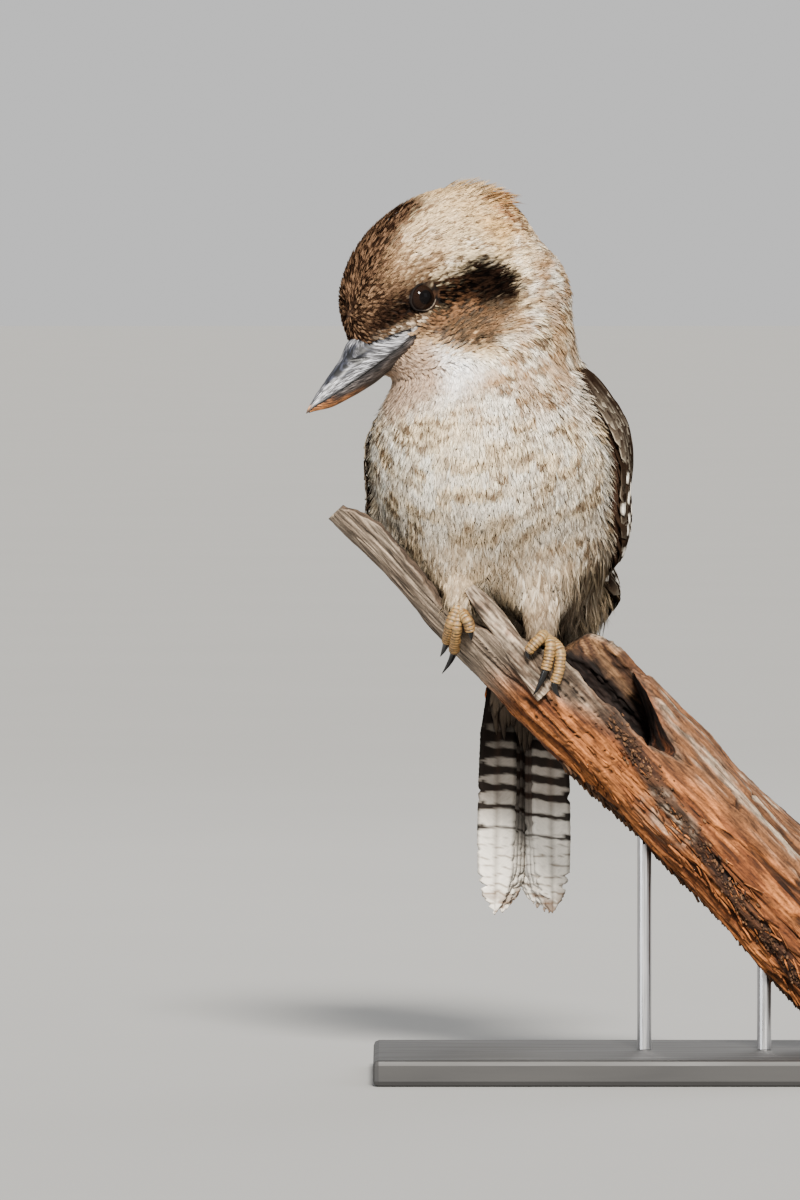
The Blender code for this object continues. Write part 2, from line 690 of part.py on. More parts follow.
WING_TOP = 4.0
WING_TIP = -0.52
WING_PLACES = np.array([-0.52, -0.2, 0.2, 0.8, 1.6, 2.4, 3.2, 3.8, 4.0])
WING_FRONT = np.array([60.0, 44.0, 28.0, 12.0, -2.0, -8.0, -9.0, -8.0, 8.0])
WING_BACK = np.array([76.0, 82.0, 85.0, 85.0, 80.0, 72.0, 64.0, 56.0, 44.0])
TIP_PLACES = np.array([-1.0, 0.0, 0.6, 1.2])
TIP_LATERAL = np.array([25.0, 31.0, 30.0, 0.01])
TIP_DEPTH = np.array([14.0, 16.0, 14.0, 0.01])
CLEAR_PLACES = (1.6, 2.4)
WING_CLEAR = (2.3, 1.5)
WING_SLAB = 1.2
WING_EDGE = 0.7
WING_COLUMNS = 6
WING_LIFTS = {"wing_left": 4.0, "wing_right": 0.0}
BULGE_PLACE = 2.6
BULGE_ANGLE = 16.0
BULGE_SPREAD = 34.0


def oval_radius(angle, wide, deep):
    """Distance from an oval's centre to its edge at an angle in degrees."""
    turn = np.radians(angle)
    return 1.0 / np.sqrt((np.cos(turn) / wide) ** 2 + (np.sin(turn) / deep) ** 2)


def wing_radius(place, angle):
    """Distance from the spine to the inner face of a folded wing."""
    centre, direction, _ = spine_ray(place, angle)
    flesh = flesh_radius(centre, direction)
    wide = np.interp(place, TIP_PLACES, TIP_LATERAL)
    deep = np.interp(place, TIP_PLACES, TIP_DEPTH)
    rump = oval_radius(angle, wide, deep)
    return np.maximum(flesh, rump) + np.interp(place, CLEAR_PLACES, WING_CLEAR)


def wing_point(place, angle, height, side, lift):
    """A place on a folded wing; a right wing is the left one's mirror in the spine."""
    place, angle = np.broadcast_arrays(np.asarray(place, float), np.asarray(angle, float))
    turned = angle if side > 0.0 else 180.0 - angle
    centre, direction, _ = spine_ray(place, turned)
    round_angle = (angle - BULGE_ANGLE) / BULGE_SPREAD
    bulge = lift * np.exp(-((place - BULGE_PLACE) ** 2) - round_angle**2)
    rise = np.where(np.asarray(height) > 0.0, bulge, 0.0) + height
    return centre + (wing_radius(place, turned) + rise)[..., None] * direction


def wing_normal(place, angle, side, lift):
    """The outward normal of a folded wing, from its slopes round and along the body."""
    ahead = wing_point(place, angle + 2.0, 1.0, side, lift)
    behind = wing_point(place, angle - 2.0, 1.0, side, lift)
    above = wing_point(place + 0.06, angle, 1.0, side, lift)
    below = wing_point(place - 0.06, angle, 1.0, side, lift)
    return unit(np.cross(ahead - behind, above - below)) * side


def wing_slab_rings(side, lift):
    """Rings of the wing's thin inner slab, from its tip up to the shoulder."""
    body = np.linspace(TAIL_CUT, NECK_CUT, TORSO_RINGS)
    places = np.concatenate([(WING_TIP, -0.25), body])
    rings = []
    for place in places:
        front = np.interp(place, WING_PLACES, WING_FRONT)
        back = np.interp(place, WING_PLACES, WING_BACK)
        angles = np.linspace(front, back, WING_COLUMNS)
        inner = wing_point(place, angles, 0.0, side, lift)
        thick = np.full(WING_COLUMNS, WING_SLAB)
        thick[[0, -1]] = WING_EDGE
        outer = wing_point(place, angles[::-1], thick, side, lift)
        rings.append(np.concatenate([inner, outer]))
    return np.array(rings)


# Name, count, root place, root angles, tip places, tip angles, width and level at the tip.
WING_ROWS = (
    ("primary", 4, 0.75, (56.0, 24.0), (-0.6, -0.1), (71.0, 38.0), 8.5, 2.6),
    ("secondary", 4, 1.85, (18.0, 64.0), (0.25, 0.5), (24.0, 74.0), 14.5, 3.1),
    ("greater", 4, 2.5, (6.0, 60.0), (1.6, 1.75), (11.0, 68.0), 17.0, 3.1),
    ("median", 4, 3.1, (2.0, 52.0), (2.25, 2.35), (4.0, 60.0), 16.0, 3.1),
    ("lesser", 4, 3.55, (0.0, 48.0), (2.85, 2.9), (-1.0, 56.0), 14.5, 2.9),
    ("shoulder", 3, 3.88, (12.0, 38.0), (3.35, 3.4), (8.0, 46.0), 14.5, 2.4),
)
VANE_ALONG = np.array([0.0, 0.22, 0.55, 0.84, 1.0])
VANE_WIDTHS = np.array([0.6, 0.9, 1.0, 0.74, 0.22])
VANE_DEPTHS = np.array([0.9, 0.7, 0.6, 0.6, 0.5])
VANE_TILT = 0.16
VANE_ROOT_LEVEL = 0.6


def wing_vanes(side, lift, collection, rng):
    """Tiers of overlapping vanes, from the long flight feathers up to the shoulder."""
    for name, count, root_place, root_angles, tip_places, tip_angles, width, level in WING_ROWS:
        for step in range(count):
            share = step / (count - 1)
            root_angle = root_angles[0] + (root_angles[1] - root_angles[0]) * share
            tip_angle = tip_angles[0] + (tip_angles[1] - tip_angles[0]) * share
            tip_place = tip_places[0] + (tip_places[1] - tip_places[0]) * share + rng.uniform(-0.03, 0.03)
            place = root_place + (tip_place - root_place) * VANE_ALONG
            angle = root_angle + (tip_angle - root_angle) * VANE_ALONG
            levels = np.interp(VANE_ALONG, (0.0, VANE_ALONG[1]), (VANE_ROOT_LEVEL, level))
            path = wing_point(place, angle, levels, side, lift)
            outward = wing_normal(place, angle, side, lift)
            tilt = np.cross(unit(np.gradient(path, axis=0)), outward) * (VANE_TILT * side)
            plate(name, path, outward + tilt, width * VANE_WIDTHS, VANE_DEPTHS, collection)


def make_wings(collection, dark, rng):
    """The two folded wings; the left one stands out a little further."""
    for name, lift in WING_LIFTS.items():
        side = 1.0 if name == "wing_left" else -1.0
        wing = loft(name, wing_slab_rings(side, lift), collection, dark)
        vanes = new_collection(name + "_vanes")
        wing_vanes(side, lift, vanes, rng)
        combine(wing, vanes, solver="MANIFOLD")


TAIL_BASE = np.array([-33.5, 58.0, 190.0])
TAIL_TIP = np.array([-33.4, 103.0, 67.0])
TAIL_LONG = TAIL_TIP - TAIL_BASE
TAIL_SIDE = np.array([1.0, 0.0, 0.0])
TAIL_NORMAL = unit(np.array([0.0, 0.93, 0.36]))
RECTRICES = 6
RECTRIX_ALONG = np.array([0.1, 0.3, 0.5, 0.7, 0.86, 0.95, 1.0])
RECTRIX_WIDTHS = np.array([10.0, 16.5, 17.5, 17.5, 15.5, 10.0, 2.2])
RECTRIX_DEPTHS = np.array([1.3, 1.1, 0.9, 0.8, 0.7, 0.6, 0.5])
RECTRIX_SPACING = 1.75
RECTRIX_LAYER = 0.85
MIDDLE_ASIDE = 4.5
MIDDLE_LAYER = 1.9
COVERTS = 6
COVERT_ALONG = np.array([0.02, 0.1, 0.2, 0.3, 0.38])
COVERT_ASIDE = np.array([9.0, 12.0, 14.0, 14.0, 12.0])
COVERT_DEEP = np.array([6.0, 8.5, 8.0, 6.4, 4.6])
COVERT_WIDTHS = np.array([6.0, 7.5, 7.5, 5.5, 1.4])
COVERT_DEPTHS = np.array([1.2, 1.1, 0.9, 0.8, 0.5])
COVERT_REACHES = {-1.0: 1.0, 1.0: 0.9}
ROOT_PLACES = np.array([0.0, -0.25, -0.55, -0.9])
ROOT_SHARES = np.array([1.0, 0.94, 0.84, 0.7])
ROOT_SIDES = 22
ROOT_WIDE = 18.0
ROOT_DEEP = 3.0


def make_tail(collection, dark, rng):
    """The tail: a tapered root on the rump's cut, twelve long vanes and their coverts."""
    tail = loft("tail", tail_root_rings(), collection, dark)
    added = new_collection("tail_vanes")
    for half in (-1.0, 1.0):
        for number in range(RECTRICES):
            length = 1.0 - 0.012 * number + rng.uniform(-0.008, 0.008)
            aside = half * (MIDDLE_ASIDE + RECTRIX_SPACING * number) * (0.84 + 0.16 * RECTRIX_ALONG)
            layer = (MIDDLE_LAYER - RECTRIX_LAYER * number + 0.12 * half) * (1.4 - 0.5 * RECTRIX_ALONG)
            path = TAIL_BASE + TAIL_LONG * (RECTRIX_ALONG * length)[:, None]
            path = path + TAIL_SIDE * aside[:, None] + TAIL_NORMAL * layer[:, None]
            normals = np.broadcast_to(TAIL_NORMAL + 0.03 * half * TAIL_SIDE, path.shape)
            plate("rectrix", path, normals, RECTRIX_WIDTHS, RECTRIX_DEPTHS, added)
    tail_coverts(added, rng)
    combine(tail, added)


def tail_coverts(collection, rng):
    """Short pointed coverts over and under the root of the tail."""
    for face, reach in COVERT_REACHES.items():
        for step in range(COVERTS):
            share = 2.0 * step / (COVERTS - 1) - 1.0
            along = COVERT_ALONG * reach * (1.0 - 0.16 * abs(share))
            deep = face * COVERT_DEEP * (1.0 - 0.25 * share * share) + rng.uniform(-0.3, 0.3)
            path = TAIL_BASE + TAIL_LONG * along[:, None]
            path = path + TAIL_SIDE * (share * COVERT_ASIDE)[:, None] + TAIL_NORMAL * deep[:, None]
            normals = np.broadcast_to(face * TAIL_NORMAL, path.shape)
            plate("covert", path, normals, COVERT_WIDTHS, COVERT_DEPTHS, collection)


def tail_root_rings():
    """Rings of the tail's thick root, its first one facing the rump across the gap."""
    angles = np.arange(ROOT_SIDES) * 360.0 / ROOT_SIDES
    centre, direction, _ = spine_ray(TAIL_CUT, angles)
    rump = flesh_radius(centre, direction) - 2.0 * GAP
    end = oval_radius(angles, ROOT_WIDE, ROOT_DEEP)
    rings = []
    for place, keep in zip(ROOT_PLACES, ROOT_SHARES):
        share = place / ROOT_PLACES[-1]
        middle, across, normal = spine_ray(place, angles)
        radius = rump * (1.0 - share) * keep + end * share
        shift = 0.5 * GAP if place == TAIL_CUT else 0.0
        rings.append(middle - shift * normal + radius[:, None] * across)
    return np.array(rings)


# Each toe is drawn by its distance along the limb, its angle round it and its radius.
FEET = {
    "right": {
        "hip": (-62.0, -10.0, 231.0),
        "toes": (
            ((-16.0, 58.5, 22.5), (-14.5, 58.5, 28.0), (-12.5, 52.0, 32.0), (-10.0, 42.0, 32.0), (-7.5, 30.0, 31.8)),
            ((-16.0, 58.5, 22.5), (-13.0, 58.0, 28.0), (-9.5, 53.0, 32.0), (-5.5, 41.0, 32.0), (-2.2, 28.0, 31.8)),
            ((-16.0, 58.5, 22.5), (-12.5, 60.0, 27.0), (-8.8, 64.0, 31.6), (-6.2, 62.5, 32.2), (-4.0, 59.5, 32.0)),
            ((-16.0, 58.5, 22.5), (-17.0, 59.0, 17.0), (-17.5, 52.0, 13.0), (-17.0, 36.0, 12.8), (-16.0, 20.0, 13.0)),
        ),
        "claws": ((-4.6, 14.0, 35.5), (1.4, 14.0, 40.5), (-0.5, 54.0, 32.6), (-15.0, 4.0, 15.3)),
    },
    "left": {
        "hip": (-27.0, -11.0, 219.0),
        "toes": (
            ((21.0, 100.0, 22.5), (20.5, 101.0, 28.0), (20.3, 96.0, 32.3), (20.4, 88.0, 33.0), (20.7, 82.5, 32.6)),
            ((21.0, 100.0, 22.5), (23.5, 101.5, 28.0), (26.0, 98.0, 32.3), (29.5, 90.0, 32.6), (32.2, 82.0, 32.8)),
            ((21.0, 100.0, 22.5), (26.0, 103.0, 27.5), (31.0, 100.0, 32.2), (36.2, 90.0, 32.4), (39.2, 80.0, 32.4)),
            ((21.0, 100.0, 22.5), (19.5, 104.0, 17.0), (18.5, 98.0, 12.8), (18.0, 80.0, 12.8), (18.0, 62.0, 13.0)),
        ),
        "claws": ((23.6, 79.0, 33.6), (36.4, 61.0, 34.2), (46.0, 75.0, 32.6), (18.5, 44.0, 15.3)),
    },
}
TOE_ROOT_RADIUS = 2.75
TOE_END_RADIUS = 2.3
TOE_POINTS = 9
LEG_RADIUS = 2.8
FOOT_RADIUS = 3.0
CLAW_GAP = 0.65
CLAW_RADII = (1.75, 1.6, 1.25, 0.8, 0.25)


def toe_line(plan):
    """A toe's middle line, a smooth curve through its places on the limb."""
    along, angle, radius = np.array(plan, float).T
    return smooth_row(limb_round(along, angle, radius), np.linspace(0.0, len(plan) - 1.0, TOE_POINTS))


def leg_line(plan):
    """A leg's middle line from the hip down to the foot."""
    hip = np.array(plan["hip"], float)
    foot = toe_line(plan["toes"][0])[0]
    end = foot + 0.5 * FOOT_RADIUS * unit(hip - foot)
    return np.array([hip, 0.5 * (hip + end), end])


def stretch(line, extra):
    """A line carried on a little past both its ends."""
    line = np.array(line, float)
    first = unit(line[0] - line[1])
    last = unit(line[-1] - line[-2])
    line[0] += extra * first
    line[-1] += extra * last
    return line


def foot_pieces(plan, grow, collection):
    """The toes of a foot as tapering bars, optionally a little thicker."""
    for toe in plan["toes"]:
        line = stretch(toe_line(toe), grow)
        tube("toe", line, np.linspace(TOE_ROOT_RADIUS, TOE_END_RADIUS, len(line)) + grow, collection)


def make_feet(collection, skin, horn):
    """Legs, feet and claws: each toe bends over the wood and ends in its own claw."""
    for side, plan in FEET.items():
        middle = toe_line(plan["toes"][0])[0]
        leg = tube(f"leg_{side}", leg_line(plan), (LEG_RADIUS,) * 3, collection, skin)
        ankle = new_collection(f"ankle_{side}")
        ball("clearance", middle, (FOOT_RADIUS + 1.4 * GAP,) * 3, ankle, segments=14, rings=8)
        foot_pieces(plan, 1.4 * GAP, ankle)
        combine(leg, ankle, "DIFFERENCE")
        toes = new_collection(f"toes_{side}")
        foot = ball(f"foot_{side}", middle, (FOOT_RADIUS,) * 3, collection, skin, 14, 8)
        foot_pieces(plan, 0.0, toes)
        combine(foot, toes)
        for number, (toe, tip) in enumerate(zip(plan["toes"], plan["claws"]), 1):
            name = f"claw_{side}_{number}"
            line = claw_line(toe_line(toe), limb_round(*tip))
            tube(name, line, CLAW_RADII, collection, horn)


def claw_line(toe, tip):
    """The middle line of a claw that carries on from the end of a toe to its point."""
    onward = unit(toe[-1] - toe[-2])
    start = toe[-1] + CLAW_GAP * onward
    middle = start + 0.5 * np.linalg.norm(tip - start) * onward
    share = np.array([0.0, 0.12, 0.4, 0.7, 1.0])[:, None]
    return (1.0 - share) ** 2 * start + 2.0 * share * (1.0 - share) * middle + share**2 * tip


def seat_legs(torso):
    """Clear the torso's feathers round the legs and the feet."""
    pockets = new_collection("leg_pockets")
    grow = 1.4 * GAP
    for plan in FEET.values():
        tube("pocket", stretch(leg_line(plan), grow), (LEG_RADIUS + grow,) * 3, pockets)
        middle = toe_line(plan["toes"][0])[0]
        ball("pocket", middle, (FOOT_RADIUS + 2.0 * grow,) * 3, pockets, segments=14, rings=8)
        foot_pieces(plan, grow, pockets)
        claw = stretch(claw_line(toe_line(plan["toes"][3]), limb_round(*plan["claws"][3])), 2.0 * grow)
        tube("pocket", claw, np.array(CLAW_RADII) + grow, pockets)
    combine(torso, pockets, "DIFFERENCE")


def main():
    """Build every part of the bird, its limb and its stand."""
    for item in list(bpy.data.objects):
        bpy.data.objects.remove(item)
    rng = random.Random(SEED)
    model = new_collection("kookaburra")
    cream = new_material("cream plumage", (0.72, 0.66, 0.56), 0.85)
    brown = new_material("brown plumage", (0.16, 0.11, 0.08), 0.8)
    horn = new_material("dark horn", (0.06, 0.06, 0.07), 0.35)
    skin = new_material("scaly skin", (0.62, 0.5, 0.28), 0.6)
    gloss = new_material("dark eye", (0.03, 0.02, 0.015), 0.08)
    wood = new_material("weathered wood", (0.4, 0.26, 0.15), 0.85)
    board = new_material("painted board", (0.05, 0.05, 0.05), 0.5)
    metal = new_material("steel rod", (0.6, 0.6, 0.6), 0.35, 1.0)
    make_head(model, cream, rng)
    make_bill(model, horn)
    make_eyes(model, gloss)
    torso, _ = make_trunk(model, cream)
    make_wings(model, brown, rng)
    make_tail(model, brown, rng)
    make_feet(model, skin, horn)
    make_perch(model, wood)
    seat_legs(torso)
    make_stand(model, metal, board)


main()
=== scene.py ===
"""Looks of a life-size laughing kookaburra that grips a broken hollow limb on a plain stand.

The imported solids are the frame. Lengths here are millimetres until a mesh is made, and the
bird's own axes, blobs and spine are the ones that its solids were made from.
"""

import math

import bpy
import numpy as np
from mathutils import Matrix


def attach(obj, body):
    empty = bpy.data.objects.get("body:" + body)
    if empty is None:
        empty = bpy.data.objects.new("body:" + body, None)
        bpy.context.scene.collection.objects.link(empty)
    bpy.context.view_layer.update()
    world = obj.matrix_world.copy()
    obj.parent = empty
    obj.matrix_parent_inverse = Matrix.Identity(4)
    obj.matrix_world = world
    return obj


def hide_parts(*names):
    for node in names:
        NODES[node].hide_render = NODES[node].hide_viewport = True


bl_info = {
    "name": "Perched kookaburra",
    "version": (1, 0, 0),
    "blender": (4, 5, 0),
    "location": "View3D > Sidebar > Kookaburra",
    "description": "Plumage, bill, feet, limb and stand of a life-size kookaburra",
    "category": "Add Mesh",
}

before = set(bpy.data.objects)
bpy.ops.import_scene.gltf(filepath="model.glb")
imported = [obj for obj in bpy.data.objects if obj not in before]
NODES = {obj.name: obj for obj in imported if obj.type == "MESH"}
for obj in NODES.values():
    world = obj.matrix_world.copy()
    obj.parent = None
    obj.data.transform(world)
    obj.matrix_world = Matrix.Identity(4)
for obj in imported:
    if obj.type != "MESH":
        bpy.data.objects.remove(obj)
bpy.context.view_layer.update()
MM = 0.001
SEED = 41
PAINT = "paint"
UP = np.array([0.0, 0.0, 1.0])


def unit(vector):
    """The vector or vectors at length one."""
    vector = np.asarray(vector, float)
    return vector / np.maximum(np.linalg.norm(vector, axis=-1, keepdims=True), 1e-12)


class Look:
    """The sizes and colours in use, read from the scene's settings by each operator."""


LOOK = Look()


def dot(first, second):
    """The product of two rows of vectors, kept as a column."""
    return (first * second).sum(-1, keepdims=True)


def ramp(value, low, high):
    """A smooth step from 0 at the low value to 1 at the high one."""
    share = np.clip((value - low) / (high - low), 0.0, 1.0)
    return share * share * (3.0 - 2.0 * share)


def tint(red, green, blue):
    """A colour given in screen values from 0 to 255, as linear light."""
    screen = np.array([red, green, blue]) / 255.0
    return np.where(screen <= 0.04045, screen / 12.92, ((screen + 0.055) / 1.055) ** 2.4)


def bell(value):
    """1 at zero, falling off smoothly on both sides: exp(-value^2)."""
    return np.exp(-(value**2))


def together(*values):
    """Values spread to one shape and joined along a new last axis."""
    return np.stack(np.broadcast_arrays(*values), axis=-1)


def mixed(first, second, share):
    """Two colours, or rows of colours, blended by a share from 0 to 1."""
    share = np.asarray(share)[..., None]
    return first * (1.0 - share) + second * share


# The bird's frame: its body and its head turn by these angles.
BODY_YAW = math.radians(15.0)
BODY_LEAN = math.radians(22.0)
HEAD_YAW = math.radians(60.0)
HEAD_BOW = math.radians(38.0)
EYES_MIDDLE = np.array([-90.9, -10.5, 351.0])
EYEBALL_RADIUS = 7.9
EYE_OFFSET = 17.6
BLEND = 3.6
BODY_LEFT = np.array([math.cos(BODY_YAW), -math.sin(BODY_YAW), 0.0])
BODY_BACK = np.array([math.sin(BODY_YAW), math.cos(BODY_YAW), 0.0])
HEAD_LEVEL = np.array([-math.sin(HEAD_YAW), -math.cos(HEAD_YAW), 0.0])
HEAD_FORWARD = math.cos(HEAD_BOW) * HEAD_LEVEL - math.sin(HEAD_BOW) * UP
HEAD_UP = math.sin(HEAD_BOW) * HEAD_LEVEL + math.cos(HEAD_BOW) * UP
HEAD_LEFT = np.cross(HEAD_UP, HEAD_FORWARD)


def head_point(ahead, above, left):
    """A place given from the middle between the eyes, along the head's own axes."""
    ahead, above, left = (np.asarray(v, float)[..., None] for v in (ahead, above, left))
    return EYES_MIDDLE + ahead * HEAD_FORWARD + above * HEAD_UP + left * HEAD_LEFT


def head_places(points):
    """How far ahead of, above and to the left of the eyes' middle some points are."""
    offset = points - EYES_MIDDLE
    return offset @ HEAD_FORWARD, offset @ HEAD_UP, offset @ HEAD_LEFT


def body_blob(centre, lateral, depth, long, lean=BODY_LEAN):
    """An ellipsoid of the trunk: its centre, its three axes and its half sizes."""
    along = math.cos(lean) * UP - math.sin(lean) * BODY_BACK
    axes = np.stack([BODY_LEFT, np.cross(along, BODY_LEFT), along])
    return np.asarray(centre, float), axes, np.array([lateral, depth, long])


def head_blob(ahead, above, left, lateral, fore, high):
    """An ellipsoid of the head, placed and turned with the head."""
    axes = np.stack([HEAD_LEFT, HEAD_FORWARD, HEAD_UP])
    return head_point(ahead, above, left), axes, np.array([lateral, fore, high])


BLOBS = (
    body_blob((-49.0, 0.0, 277.0), 54.5, 46.0, 56.0),
    body_blob((-47.5, 15.0, 247.0), 54.0, 40.0, 41.0),
    body_blob((-36.5, 27.0, 284.0), 44.5, 33.5, 54.0),
    body_blob((-33.5, 44.0, 217.0), 38.0, 23.0, 31.0),
    body_blob((-33.5, 56.0, 194.0), 22.0, 15.0, 30.0),
    body_blob((-62.5, -9.0, 231.0), 15.0, 13.0, 18.0, 0.0),
    body_blob((-27.0, -8.0, 219.0), 15.0, 13.0, 18.0, 0.0),
    body_blob((-50.0, 0.0, 325.0), 39.0, 38.0, 36.0),
    body_blob((-40.0, 4.0, 350.0), 27.0, 30.0, 30.0),
    head_blob(-18.0, 0.5, 0.0, 31.5, 46.0, 31.0),
    head_blob(-42.0, -9.0, 0.0, 30.0, 29.0, 26.0),
    head_blob(10.0, -9.0, 0.0, 16.0, 21.0, 11.0),
    head_blob(0.0, -18.0, 0.0, 22.0, 28.0, 12.0),
)
EYE_HOLLOWS = (head_point(1.0, 0.0, 27.0), head_point(1.0, 0.0, -27.0))
EYE_HOLLOW_DEPTH = 7.5
EYE_HOLLOW_WIDTH = 9.0
BLOB_CENTRES = np.stack([blob[0] for blob in BLOBS])
BLOB_AXES = np.stack([blob[1] for blob in BLOBS])
BLOB_SIZES = np.stack([blob[2] for blob in BLOBS])


def flesh_distance(points):
    """Signed distance, nearly, to the softly joined ellipsoids; below zero is inside."""
    nearness = 0.0
    for centre, axes, sizes in zip(BLOB_CENTRES, BLOB_AXES, BLOB_SIZES):
        local = (points - centre) @ axes.T
        near = np.linalg.norm(local / sizes, axis=-1)
        slope = np.linalg.norm(local / sizes**2, axis=-1)
        distance = near * (near - 1.0) / np.maximum(slope, 1e-9)
        nearness = nearness + np.exp(-distance / BLEND)
    joined = -BLEND * np.log(nearness)
    for centre in EYE_HOLLOWS:
        away = np.linalg.norm(points - centre, axis=-1)
        joined = joined + EYE_HOLLOW_DEPTH * np.exp(-0.5 * (away / EYE_HOLLOW_WIDTH) ** 2)
    return joined


NORMAL_STEP = 0.4


def flesh_normal(points):
    """The outward direction of the body's surface, from its distance's slope."""
    here = flesh_distance(points)
    slopes = [flesh_distance(points + NORMAL_STEP * axis) - here for axis in np.eye(3)]
    return unit(np.stack(slopes, axis=-1))


HALVINGS = 20
FARTHEST = 110.0


def flesh_radius(centre, direction):
    """How far along each direction the surface lies, found by halving the span."""
    low = np.zeros(direction.shape[:-1])
    high = np.full(direction.shape[:-1], FARTHEST)
    for _ in range(HALVINGS):
        middle = 0.5 * (low + high)
        inside = flesh_distance(centre + middle[..., None] * direction) < 0.0
        low = np.where(inside, middle, low)
        high = np.where(inside, high, middle)
    return 0.5 * (low + high)


HEAD_FLOOR = -26.0
HEAD_MIDDLE = -24.0
SPINE = (
    ((-34.0, 80.0, 140.0), (0.0, -0.38, 0.92), BODY_LEFT),
    ((-33.5, 58.0, 190.0), (0.0, -0.38, 0.92), BODY_LEFT),
    ((-39.0, 30.0, 222.0), (0.0, -0.38, 0.92), BODY_LEFT),
    ((-44.0, 14.0, 250.0), (0.0, -0.28, 0.96), BODY_LEFT),
    ((-46.0, 8.0, 282.0), (-0.04, -0.15, 0.98), BODY_LEFT),
    ((-49.0, 2.0, 319.0), (-0.2, -0.1, 0.97), unit(BODY_LEFT + 0.3 * HEAD_LEFT)),
    (head_point(HEAD_MIDDLE, HEAD_FLOOR, 0.0), HEAD_UP, HEAD_LEFT),
)
SPINE_CENTRES = np.stack([np.asarray(row[0], float) for row in SPINE])
SPINE_NORMALS = np.stack([unit(row[1]) for row in SPINE])
SPINE_LEFTS = np.stack([unit(row[2]) for row in SPINE])
PLACE_LONG = 34.0
NECK_TOP = 5.0
CROWN_HEIGHT = float(flesh_radius(head_point(HEAD_MIDDLE, 0.0, 0.0), HEAD_UP))


def smooth_row(rows, place):
    """A Catmull-Rom curve through evenly numbered rows, read at any place along them."""
    place = np.asarray(place, float)
    last = len(rows) - 1
    low = np.clip(np.floor(place).astype(int), 0, last - 1)
    part = (place - low).reshape(place.shape + (1,) * (rows.ndim - 1))
    before = rows[np.clip(low - 1, 0, last)]
    here = rows[low]
    there = rows[low + 1]
    after = rows[np.clip(low + 2, 0, last)]
    rise = 0.5 * (there - before)
    fall = 0.5 * (after - here)
    cube = 2.0 * (here - there) + rise + fall
    square = 3.0 * (there - here) - 2.0 * rise - fall
    return here + part * (rise + part * (square + part * cube))


def spine_ray(place, angle):
    """Centre and outward direction at a spine place and an angle, 0 left and 90 back."""
    place, angle = np.broadcast_arrays(np.asarray(place, float), np.radians(angle))
    row = place + 1.0
    centre = smooth_row(SPINE_CENTRES, row)
    normal = unit(smooth_row(SPINE_NORMALS, row))
    left = smooth_row(SPINE_LEFTS, row)
    left = unit(left - dot(left, normal) * normal)
    back = np.cross(normal, left)
    return centre, np.cos(angle)[..., None] * left + np.sin(angle)[..., None] * back


def body_ray(place, angle):
    """The same from the rump at -0.52 through the neck at 5 to the crown at 6."""
    place, angle = np.broadcast_arrays(np.asarray(place, float), np.asarray(angle, float))
    centre, direction = spine_ray(np.minimum(place, NECK_TOP), angle)
    climb = np.sin(np.clip(place - NECK_TOP, 0.0, 1.0) * 0.5 * np.pi)
    height = HEAD_FLOOR + (CROWN_HEIGHT - 0.05 - HEAD_FLOOR) * climb
    above = head_point(np.full(place.shape, HEAD_MIDDLE), height, np.zeros(place.shape))
    return np.where((place > NECK_TOP)[..., None], above, centre), direction


def body_point(place, angle):
    """A point of the body's outer surface by its spine place and its angle."""
    centre, direction = body_ray(place, angle)
    return centre + flesh_radius(centre, direction)[..., None] * direction


def lattice(cells, seed):
    """A repeatable number from 0 to 1 for each whole-numbered cell."""
    mix = cells[..., 0] * 73856093 + cells[..., 1] * 19349663 + cells[..., 2] * 83492791
    mix = (mix + seed * 2971215073) & 0xFFFFFFFF
    mix = ((mix ^ (mix >> 15)) * 2246822519) & 0xFFFFFFFF
    mix = ((mix ^ (mix >> 13)) * 3266489917) & 0xFFFFFFFF
    return ((mix ^ (mix >> 16)) & 0xFFFF) / 65535.0


def cloud(points, size, seed=0):
    """Smooth noise from 0 to 1: lattice numbers a size apart, blended between by smooth steps."""
    scaled = points / np.asarray(size, float)
    low = np.floor(scaled).astype(np.int64)
    part = scaled - low
    part = part * part * (3.0 - 2.0 * part)
    total = np.zeros(points.shape[:-1])
    for corner in np.ndindex(2, 2, 2):
        share = np.where(corner, part, 1.0 - part).prod(axis=-1)
        total += share * lattice(low + np.array(corner), seed)
    return total


def layered(points, size, seed=0, layers=3):
    """Several clouds added, each half as coarse and half as strong, from 0 to 1."""
    size = np.asarray(size, float)
    total = 0.0
    weight = 0.0
    for layer in range(layers):
        strength = 0.5**layer
        total = total + strength * cloud(points, size * strength, seed + 17 * layer)
        weight += strength
    return total / weight


def inside_depth(x, y, corners):
    """How deep points lie inside a flat outline, below zero outside: the nearest edge's
    distance, with its sign from counting the edges that a level line crosses."""
    corners = np.asarray(corners, float)
    nearest = np.full(np.shape(x), 1e9)
    within = np.zeros(np.shape(x), bool)
    for (x0, y0), (x1, y1) in zip(corners, np.roll(corners, -1, axis=0)):
        dx, dy = x1 - x0, y1 - y0
        share = np.clip(((x - x0) * dx + (y - y0) * dy) / (dx * dx + dy * dy), 0.0, 1.0)
        nearest = np.minimum(nearest, np.hypot(x - x0 - share * dx, y - y0 - share * dy))
        crosses = (y0 > y) != (y1 > y)
        level = np.where(crosses, (y - y0) / (dy if dy else 1.0), 0.0)
        within ^= crosses & (x < x0 + level * dx)
    return np.where(within, nearest, -nearest)


